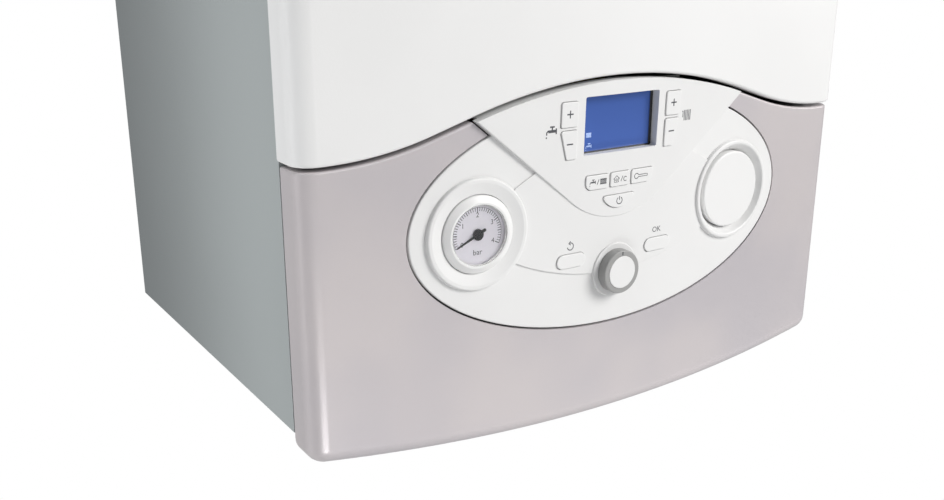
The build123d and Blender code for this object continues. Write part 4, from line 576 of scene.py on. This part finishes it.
# ---------------------------------------------------------------- condensate
# Grey siphon under the exchanger, and the straight black hose that drains into it. The hose is
# corrugated, and a wire clip holds it at each end.
grey_plastic = satin_plastic("grey_plastic", (0.3, 0.31, 0.32), 0.45)
smooth_copy("condensate_trap", grey_plastic)
hose_x, hose_y, _ = middle("condensate_hose")
hose_low, hose_high = 168.3, 425.7  # 0.3 mm short of the trap and of the exchanger's drain
hose_length, fold_count = hose_high - hose_low, 66
fold_pitch = hose_length / fold_count
folds = [(0, 0)]
for step in range(fold_count):
    low = step * fold_pitch
    folds += [(6.6, low), (6.7, low + 0.9), (7.9, low + 1.5), (7.9, low + 3.2)]
folds += [(6.6, hose_length), (0, hose_length)]
corrugated = lathe(folds, (hose_x, hose_y, hose_low), steps=20)
hose = add_piece("condensate_hose_folds", corrugated, rubber, "casing", 60)
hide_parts("condensate_hose")
clip = [(7.6, 0), (9, 0.4), (9.2, 1.6), (9, 2.8), (7.6, 3.2)]
low_clip_z, high_clip_z = 172, 417
clips = [lathe(clip, (hose_x, hose_y, z), steps=24) for z in (low_clip_z, high_clip_z)]
add_piece("hose_clips", join(clips), zinc, "casing")

# ---------------------------------------------------------------- water side
# Plate exchanger of stainless sheets, between two water blocks of glass-filled plastic. The
# pump's volute is coated cast iron. Its motor has cooling ribs and a vent screw whose slot is
# painted shade.
stainless = Finish("stainless_plates", (0.6, 0.59, 0.57), 0.28, 1.0)
grain = stainless.noise(1.2, 2, (1, 1, 12))
stainless.set(
    base_color=stainless.between(grain, (0.5, 0.49, 0.47), (0.68, 0.67, 0.65)),
    roughness=grain * 0.2 + 0.18,
)
pump_x, _, pump_z = middle("pump_motor")
dress(stainless, "plate_exchanger")
for name in ("flow_block", "return_block", "diverter_valve", "pump_motor"):
    smooth_copy(name, black_plastic)
iron = Finish("coated_cast_iron", (0.045, 0.047, 0.05), 0.6, 0.2)
iron.mottle(0.15, 15)
iron.bump(iron.noise(1.6, 3), 0.2)
smooth_copy("pump_body", iron)
motor_r, first_rib, past_ribs, rib_pitch = 38, -188, -132, 7
foot_r, crest_r = motor_r - 0.3, motor_r + 1.4
rib = [(foot_r, 0), (crest_r, 0.5), (crest_r, 2.3), (foot_r, 2.8)]
rib_places = [(pump_x, y, pump_z) for y in range(first_rib, past_ribs, rib_pitch)]
ribs = [lathe(rib, place, (0, -1, 0), 48) for place in rib_places]
add_piece("pump_ribs", join(ribs), black_plastic, "casing")
at, out = seat("pump_motor", (pump_x, in_front, pump_z))
vent_screw = lathe([(0, 0), (8.6, 0), (8.6, 1.6), (7.8, 2.4), (0, 2.4)], at, out)
add_piece("pump_vent_screw", vent_screw, brass, "casing")
# Painted shade: the vent screw's slot is not cut, and a black bar on its face stands for the
# shade in it.
slot_shade_x, slot_shade_z = (pump_x - 7, pump_x + 7), (pump_z - 0.7, pump_z + 0.7)
slot_shade_y = (at.y - 2.7, at.y - 2.3)  # a black bar 0.3 mm proud of the screw's face stands for the slot: painted shade where the slot would be
slot_shade_bar = block(slot_shade_x, slot_shade_y, slot_shade_z)
add_piece("pump_screw_slot", slot_shade_bar, rubber, "casing")
spring_clip = block((-141, -89), (-146, -144.4), (83, 86), 0.6)
add_piece("diverter_clip", spring_clip, zinc, "casing")

# ---------------------------------------------------------------- valves and tap
# Brass relief valve with a red grip, brass air vent with a black cap, and the blue filling tap,
# whose grip turns through a quarter.
relief_x, _, _ = middle("relief_valve")
vent_x, vent_y, _ = middle("air_vent")
tap_x, tap_y, _ = middle("fill_tap")
smooth_copy("relief_valve", brass)
smooth_copy("air_vent", brass)


def grip(radius, height, at, along=(0, 0, 1), count=16):
    """Ribbed grip, with every second column of its side drawn in."""
    side = [(0, 0), (radius, 0), (radius, height - 1), (radius - 1, height), (0, height)]
    columns, drawn_in = count * 2, 0.93
    mesh = lathe(side, steps=columns)
    for vert in mesh.verts:
        column = round(math.atan2(vert.co.y, vert.co.x) / math.tau * columns)
        if column % 2:
            vert.co.xy *= drawn_in
    return stand(mesh, at, along)


red_plastic = satin_plastic("red_plastic", (0.5, 0.03, 0.02), 0.4)
relief_grip_y, relief_grip_z = -170.8, 31  # where the grip starts
relief_grip = grip(14.2, 15, (relief_x, relief_grip_y, relief_grip_z), (0, -1, 0))
add_piece("relief_grip", relief_grip, red_plastic, "casing", 20)
vent_cap_z = 667
vent_cap = grip(6.2, 9, (vent_x, vent_y, vent_cap_z), count=10)
add_piece("vent_cap", vent_cap, rubber, "casing", 20)
blue_plastic = satin_plastic("blue_plastic", (0.02, 0.09, 0.36), 0.4)
smooth_copy("fill_tap", blue_plastic)
tap_grip_z = -27.6
tap_grip = grip(12.9, 11, (tap_x, tap_y, tap_grip_z))
add_piece("fill_tap_grip", tap_grip, blue_plastic, "fill_tap", 20)

# ---------------------------------------------------------------- control box
# Black housing that tilts down with the fascia. Inside are the main board behind the rear lid,
# and the key board behind the panel with one switch under each key.
dress(black_plastic, "control_housing", "housing_lid")
smooth_copy("knob_encoder", black_plastic)
lid_corners = [(x, behind_lid, z) for x in (-142, 142) for z in (30, 134)]
screws("lid_screws", "housing_lid", lid_corners, (0, -1, 0), 3.0)
board = Finish("circuit_board", (0.015, 0.14, 0.05), 0.35, coat_weight=0.3, coat_roughness=0.2)
layout = {"Vector": board.place, "Scale": 160, "Mortar Size": 0.08}
tracks = board.node("TexBrick", {"offset": 0.37}, layout, output="Fac")
board.set(
    base_color=board.between(tracks, (0.02, 0.2, 0.075), (0.01, 0.11, 0.04)),
    roughness=board.noise(4, 2) * 0.15 + 0.3,
)
dress(board, "main_board")
black_board = Finish("black_solder_mask", (0.012, 0.013, 0.013), 0.4)
black_board.mottle(0.3, 8)
dress(black_board, "key_board")
board_y = -256.4  # the side of the main board that carries its parts


def on_board(x, z, height, bevel=0.5):
    """A box on the main board, between two limits on x and on z."""
    return block(x, (board_y, board_y + height), z, bevel)


relays = [on_board((-100.2, -59.8), (69.8, 104.2), 28.6, 0.6)]
relays += [on_board((x - 9, x + 9), (108, 126), 15) for x in (-30, -6, 18)]
relays.append(on_board((-20, 16), (66, 90), 2, 0.3))
add_piece("board_relays", join(relays), black_plastic, "control_box")
terminals = [on_board((-40.2, 30.2), (37.8, 52.2), 12.6)]
terminals += [on_board((x - 7, x + 7), (112, 120), 9) for x in (48, 68, 88)]
add_piece("board_terminals", join(terminals), white_nylon, "control_box")
can = [(0, 24.8), (6.8, 24.8), (7, 24.2), (8.2, 23.6), (8.2, 0), (0, 0)]
can_z = 86
cans = [lathe(can, (x, board_y, can_z), (0, 1, 0), 24) for x in (50, 72, 94)]
add_piece("board_capacitors", join(cans), black_plastic, "control_box")
keys = [name for name in frame["nodes"] if name.startswith("button_")]
switch_half, switch_y = 3.1, (-306.45, -303)
switches = []
for key in keys:
    low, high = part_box(key)
    x, z = (low[0] + high[0]) * 500, (low[2] + high[2]) * 500
    wide, tall = (x - switch_half, x + switch_half), (z - switch_half, z + switch_half)
    switches.append(block(wide, switch_y, tall, 0.3, 1))
add_piece("key_switches", join(switches), black_plastic, "control_box")

# ---------------------------------------------------------------- fascia
# Injection-moulded ABS, sprayed with a silver lacquer whose fine flakes give a pale mauve sheen.
# It is fixed to the front of the control box and tilts down with it.
silver = Finish(
    "silver_lacquer", (0.68, 0.645, 0.65), 0.3, 0.3, coat_weight=0.25, coat_roughness=0.2
)
drift = silver.rise(silver.noise(110, 2), 0.35, 0.65)
glitter = silver.rise(silver.noise(0.35, 0), 0.35, 0.75)
silver.set(
    base_color=silver.between(drift, (0.65, 0.605, 0.61), (0.585, 0.552, 0.575)),
    metallic=glitter * 0.3 + 0.15,
    roughness=silver.noise(0.5, 1) * 0.08 + 0.26,
)
silver.bump(silver.noise(0.9, 1), 0.012)
smooth_copy("fascia", silver)

# ---------------------------------------------------------------- control panel and keys
# One moulding of white ABS with a spark-eroded satin texture: oval base, stepped middle, raised
# shield, two crater rings and the well of the display. The ten keys stand in its openings.
white_plastic = satin_plastic("white_plastic", (0.77, 0.77, 0.765))
smooth_copy("control_panel", white_plastic)
button_finish = satin_plastic("button_plastic", (0.79, 0.79, 0.785), 0.38)
for key in keys:
    smooth_copy(key, button_finish)

# ---------------------------------------------------------------- lip and foam strip
# A thin lip behind the panel's arched top edge, and grey foam along the top of the control box,
# close the gap under the front cover.
foam = Finish("grey_foam", (0.42, 0.42, 0.41), 0.9)
foam.mottle(0.1, 1.2)
foam.bump(foam.noise(0.8, 2), 0.15)
arch_r, arch_z = 328.0, 185.5  # radius and top of the lip's arch, seen from the front
bow_r = 2050.0  # radius of the cover's bow, seen from above
lip_half_w, lip_y, lip_cuts = 96, -312.4, 39
lip = block((-lip_half_w, lip_half_w), (0, 6), (-0.8, 0))
lengthwise = [edge for edge in lip.edges if edge.calc_length() * 1000 > lip_half_w]
bmesh.ops.subdivide_edges(lip, edges=lengthwise, cuts=lip_cuts, use_grid_fill=True)
for vert in lip.verts:
    x = vert.co.x * 1000
    vert.co.y += (lip_y + x * x / (2 * bow_r)) / 1000
    vert.co.z += (arch_z - arch_r + math.sqrt(arch_r**2 - x * x)) / 1000
add_piece("panel_lip", lip, white_plastic, "control_box")
strip = block((-56, 56), (-304.6, -301.2), (181.15, 183.0), 0.3, 1)
add_piece("foam_strip", strip, foam, "control_box")

# ---------------------------------------------------------------- printed signs
# Pad-printed in dark grey on the keys and on the panel: plus and minus, tap, radiator, and the
# signs of the other keys. The ink stands a few hundredths of a millimetre proud.
ink = Finish("grey_ink", (0.07, 0.072, 0.08), 0.55)
ink.mottle(0.12, 1.5)
ink_rise = 0.03


def mesh_of(curve):
    """A curve or a text as a bmesh."""
    holder = bpy.data.objects.new("artwork", curve)
    data = bpy.data.meshes.new_from_object(holder)
    mesh = bmesh.new()
    mesh.from_mesh(data)
    bpy.data.objects.remove(holder)
    bpy.data.curves.remove(curve)
    bpy.data.meshes.remove(data)
    return mesh


def stroke(lines, width):
    """Round-ended strokes along lines of points in millimetres, as thin as ink."""
    curve = bpy.data.curves.new("stroke", "CURVE")
    curve.dimensions = "3D"
    curve.bevel_depth = width / 2000
    curve.bevel_resolution = 2
    curve.use_fill_caps = True
    for points in lines:
        closed = points[0] == points[-1]
        points = points[:-1] if closed else points
        spline = curve.splines.new("POLY")
        spline.points.add(len(points) - 1)
        for point, (x, y) in zip(spline.points, points):
            point.co = (x / 1000, y / 1000, 0, 1)
        spline.use_cyclic_u = closed
    mesh = mesh_of(curve)
    bmesh.ops.scale(mesh, verts=mesh.verts, vec=(1, 1, 2 * ink_rise / width))
    return mesh


def lettering(text, height, x=0.0, y=0.0):
    """Characters of a height in millimetres, centred on a place, as thin as ink."""
    size_for_height = 1.38  # of the font's size to the height of its capitals
    curve = bpy.data.curves.new("lettering", "FONT")
    curve.body = text
    curve.size = height * size_for_height / 1000
    curve.align_x, curve.align_y = "CENTER", "CENTER"
    curve.extrude = ink_rise / 1000
    curve.resolution_u = 3
    mesh = mesh_of(curve)
    bmesh.ops.remove_doubles(mesh, verts=mesh.verts, dist=1e-7)
    bmesh.ops.translate(mesh, verts=mesh.verts, vec=(x / 1000, y / 1000, 0))
    return mesh


def circle(x, y, radius, start=0, end=360, steps=20):
    """Points along a circle or an arc of it."""
    turns = (math.radians(start + (end - start) * i / steps) for i in range(steps + 1))
    points = [(x + radius * math.cos(t), y + radius * math.sin(t)) for t in turns]
    if end - start == 360:
        points[-1] = points[0]
    return points


def moved(lines, scale, right=0.0):
    """Lines made larger or smaller, and moved to the right."""
    return [[(x * scale + right, y * scale) for x, y in line] for line in lines]


def face_at(node, x, z):
    """The place and tilt of a piece's front at x, z in millimetres: Z points out of it."""
    hit, normal = seat(node, (x, in_front, z))
    along = Vector((0, 0, 1)).cross(normal).normalized()
    turn = Matrix((along, normal.cross(along), normal)).transposed()
    return Matrix.Translation(hit / 1000) @ turn.to_4x4()


def printed(name, mesh, place, body, finish=ink):
    """Put flat artwork onto a face."""
    bmesh.ops.transform(mesh, matrix=place, verts=mesh.verts)
    add_piece(name, mesh, finish, body)


plus_lines = [[(-2.2, 0), (2.2, 0)], [(0, -2.2), (0, 2.2)]]
minus_line = plus_lines[:1]
tap_lines = [
    [(-2.3, -1.4), (-2.3, -0.2), (-1.5, 0.5), (2.9, 0.5)],
    [(-1.4, -0.1), (2.9, -0.1)],
    [(2.9, -1.2), (2.9, 1.4)],
    [(0.7, 0.5), (0.7, 2.1)],
    [(-0.6, 2.2), (2.0, 2.2)],
    [(-2.4, -2.2), (-2.4, -2.9)],
]
radiator_lines = [[(x, -2.3), (x, 2.3)] for x in (-2.7, -1.8, -0.9, 0.0, 0.9, 1.8, 2.7)]
radiator_lines += [[(-3.1, level), (3.3, level)] for level in (-1.7, 1.7)]
tall_radiator_lines = [[(x, -3.2), (x, 3.2)] for x in (-1.8, -0.6, 0.6, 1.8, 3.0)]
tall_radiator_lines.append([(-3.8, 2.5), (-3.0, 2.5), (-3.0, -1.2)])
slash_line = [[(-0.8, -1.9), (0.8, 1.9)]]
house_lines = [
    [(-2.4, 0.2), (0, 2.2), (2.4, 0.2)],
    [(-1.7, 0.6), (-1.7, -1.9), (1.7, -1.9), (1.7, 0.6)],
    circle(0, -0.5, 0.7, steps=12),
]
open_ring_line = [circle(0, -0.4, 1.3, 50, 310, 12)]
door_key_lines = [
    circle(-3.4, 0, 1.6, 30, 330, 14),
    [(-2.0, 0.6), (5.2, 0.6), (5.2, -0.6), (-2.0, -0.6)],
]
power_lines = [circle(0, 0, 2.1, 122, 418, 18), [(0, 0.3), (0, 2.7)]]
back_lines = [circle(0, 0, 2.2, -170, 120, 16), [(0.1, 3.2), (-1.3, 1.9), (0.2, 0.9)]]
mode_lines = moved(tap_lines, 0.75, -4.2) + moved(slash_line, 0.8)
mode_lines += moved(radiator_lines, 0.75, 3.9)
comfort_lines = moved(house_lines, 0.95, -2.8) + moved(slash_line, 0.8, 1.3)
comfort_lines += moved(open_ring_line, 1, 4)

# sign: lines, stroke width, piece that carries it, x, z
signs = {
    "hot_water_plus": (plus_lines, 0.8, "button_hot_water_plus", -39.2, 169.1),
    "hot_water_minus": (minus_line, 0.8, "button_hot_water_minus", -38.7, 151.9),
    "heating_plus": (plus_lines, 0.8, "button_heating_plus", 39.2, 169.1),
    "heating_minus": (minus_line, 0.8, "button_heating_minus", 38.7, 151.9),
    "tap": (moved(tap_lines, 1.25), 0.9, "control_panel", -51.6, 160.2),
    "radiator": (tall_radiator_lines, 0.65, "control_panel", 51.4, 160.2),
    "mode": (mode_lines, 0.5, "button_mode", -16.8, 127.3),
    "comfort": (comfort_lines, 0.45, "button_comfort", 0, 127.2),
    "menu": (door_key_lines, 0.5, "button_menu", 16.2, 127.2),
    "power": (power_lines, 0.55, "button_power", 0.4, 113.8),
    "back": (back_lines, 0.6, "control_panel", -34.3, 90.2),
}
for name, (lines, width, node, x, z) in signs.items():
    printed("sign_" + name, stroke(lines, width), face_at(node, x, z), body_of[node])
printed("sign_ok", lettering("OK", 3.5), face_at("control_panel", 33.2, 90.4), "control_box")

# ---------------------------------------------------------------- display
# Blue backlit liquid crystal behind a clear window in a black printed border. Only two small
# signs are lit, at its lower left.
glass = Finish("display_window", (0.06, 0.13, 0.42), 0.22, coat_weight=0.6, coat_roughness=0.08)
_, _, display_z = middle("display_module")
lit_half_w, lit_half_h, border_blur = 25.45, 15.8, (0.3, -0.1)


def within(distance, half):
    """1 inside half a width in millimetres, and 0 in the border round it."""
    outer, inner = ((half + edge) / 1000 for edge in border_blur)
    return glass.rise(abs(distance), outer, inner)


# The window's blue is its backlight, with a painted sheen that makes it lighter towards the foot.
across = glass.node("SeparateXYZ", values={0: glass.place}, output="X")
upward = glass.node("SeparateXYZ", values={0: glass.place}, output="Z")
inside = within(across, lit_half_w) * within(upward - display_z / 1000, lit_half_h)
painted_sheen_fade = glass.rise(upward, 0.147, 0.176)  # painted sheen, lighter towards the foot; metres, near the foot and near the top
backlight_and_painted_sheen = glass.between(painted_sheen_fade, (0.045, 0.095, 0.33), (0.035, 0.078, 0.28))
glass.set(
    base_color=glass.between(inside, (0.012, 0.012, 0.014), backlight_and_painted_sheen),
    emission_color=glass.between(inside, (0, 0, 0), (0.02, 0.05, 0.16)),
    emission_strength=0.5,
    roughness=glass.noise(6, 2) * 0.06 + 0.16,
)
smooth_copy("display_module", glass)
segments = Finish("lit_segments", (0.42, 0.56, 0.9), 0.5)
segments.mottle(0.1, 1.0)
segment_x, segment_width = -20.2, 0.45
# lit sign: lines, z
lit_signs = {
    "radiator": (moved(radiator_lines, 0.6), 154.3),
    "tap": (moved(tap_lines, 0.75), 147.6),
}
for name, (lines, z) in lit_signs.items():
    place = face_at("display_module", segment_x, z)
    artwork = stroke(lines, segment_width)
    printed("segments_" + name, artwork, place, "control_box", segments)

# ---------------------------------------------------------------- knob
# Grey ABS ring with a white cap in its front, on the shaft of the encoder. A printed mark near
# the ring's rim shows how it stands.
knob_grey = satin_plastic("knob_grey", (0.33, 0.33, 0.325), 0.45, 0.6, 0.01)
smooth_copy("knob_ring", knob_grey)
smooth_copy("knob_cap", button_finish)
mark_z = 82.1
mark = block((-0.45, 0.45), (-1.1, 1.1), (-0.05, 0.05), 0.04, 1)
printed("knob_mark", mark, face_at("knob_ring", 0, mark_z), "knob")

# ---------------------------------------------------------------- gauge
# Pressure gauge for 0 to 4 bar: a printed dial in a snap-in case, a black needle on a pin, and a
# clear lens held by a soft white bezel. Its face is square to the bowed panel.
gauge_x, _, gauge_z = middle("gauge_bezel")
dial_print = Finish("dial", (0.84, 0.82, 0.88), 0.6)
dial_print.mottle(0.02, 12)
dial_print.bump(dial_print.noise(0.5, 1), 0.006)
smooth_copy("gauge_case", dial_print)
smooth_copy("gauge_bezel", button_finish)
needle_black = satin_plastic("needle_black", (0.015, 0.015, 0.017), 0.4, 0.5, 0.006)
smooth_copy("gauge_pointer", needle_black)
lens_clear = Finish("gauge_lens_clear", (1, 1, 1), 0.04, transmission_weight=1.0, ior=1.49)
haze = lens_clear.rise(lens_clear.noise(3, 3), 0.45, 0.8)
lens_clear.set(roughness=haze * 0.04 + 0.02)
smooth_copy("gauge_lens", lens_clear)

# The dial is met beside its pin, and the artwork's middle is then moved along the dial to it.
beside_pin = 9
dial_face = face_at("gauge_case", gauge_x + beside_pin, gauge_z + beside_pin)
centre = Vector((gauge_x / 1000, dial_face.translation.y, gauge_z / 1000))
out = dial_face.col[2].xyz
centre -= out * (centre - dial_face.translation).dot(out)
dial_face.translation = centre


def tick_size(tenth):
    """Start radius and width of a tick: longest at whole bars, then at half bars."""
    if tenth % 10 == 0:
        return 12.6, 0.5
    if tenth % 5 == 0:
        return 13.1, 0.5
    return 13.4, 0.36


zero_at, per_bar = 206, -58  # degrees, counted anticlockwise from the right
tick_end, arc_r, number_r, unit_drop = 15.4, 15.5, 11.1, 10.4
artwork = []
for tenth in range(41):
    turn = math.radians(zero_at + per_bar * tenth / 10)
    tick_start, width = tick_size(tenth)
    ends = [(r * math.cos(turn), r * math.sin(turn)) for r in (tick_start, tick_end)]
    artwork.append(stroke([ends], width))
artwork.append(stroke([circle(0, 0, arc_r, zero_at + 4 * per_bar, zero_at, 60)], 0.22))
for bar in range(5):
    turn = math.radians(zero_at + per_bar * bar)
    artwork.append(lettering(str(bar), 2.9, number_r * math.cos(turn), number_r * math.sin(turn)))
artwork.append(lettering("bar", 3.3, 0, -unit_drop))
printed("dial_scale", join(artwork), dial_face, "control_box")

# ---------------------------------------------------------------- blank cap
# White cap in the right crater ring, where a clock can be fitted instead. It is moulded in the
# same plastic as the keys.
smooth_copy("blank_cap", button_finish)

# ---------------------------------------------------------------- front cover
# Steel sheet, bowed in plan, powder-coated white with a satin gloss. It is hung last, on two
# tongues in the top panel, and its wavy lower edge is folded in.
white_paint = powder_coat("cover_paint", (0.8, 0.8, 0.795), 0.38, 0.025)
smooth_copy("front_cover", white_paint)

low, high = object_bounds()
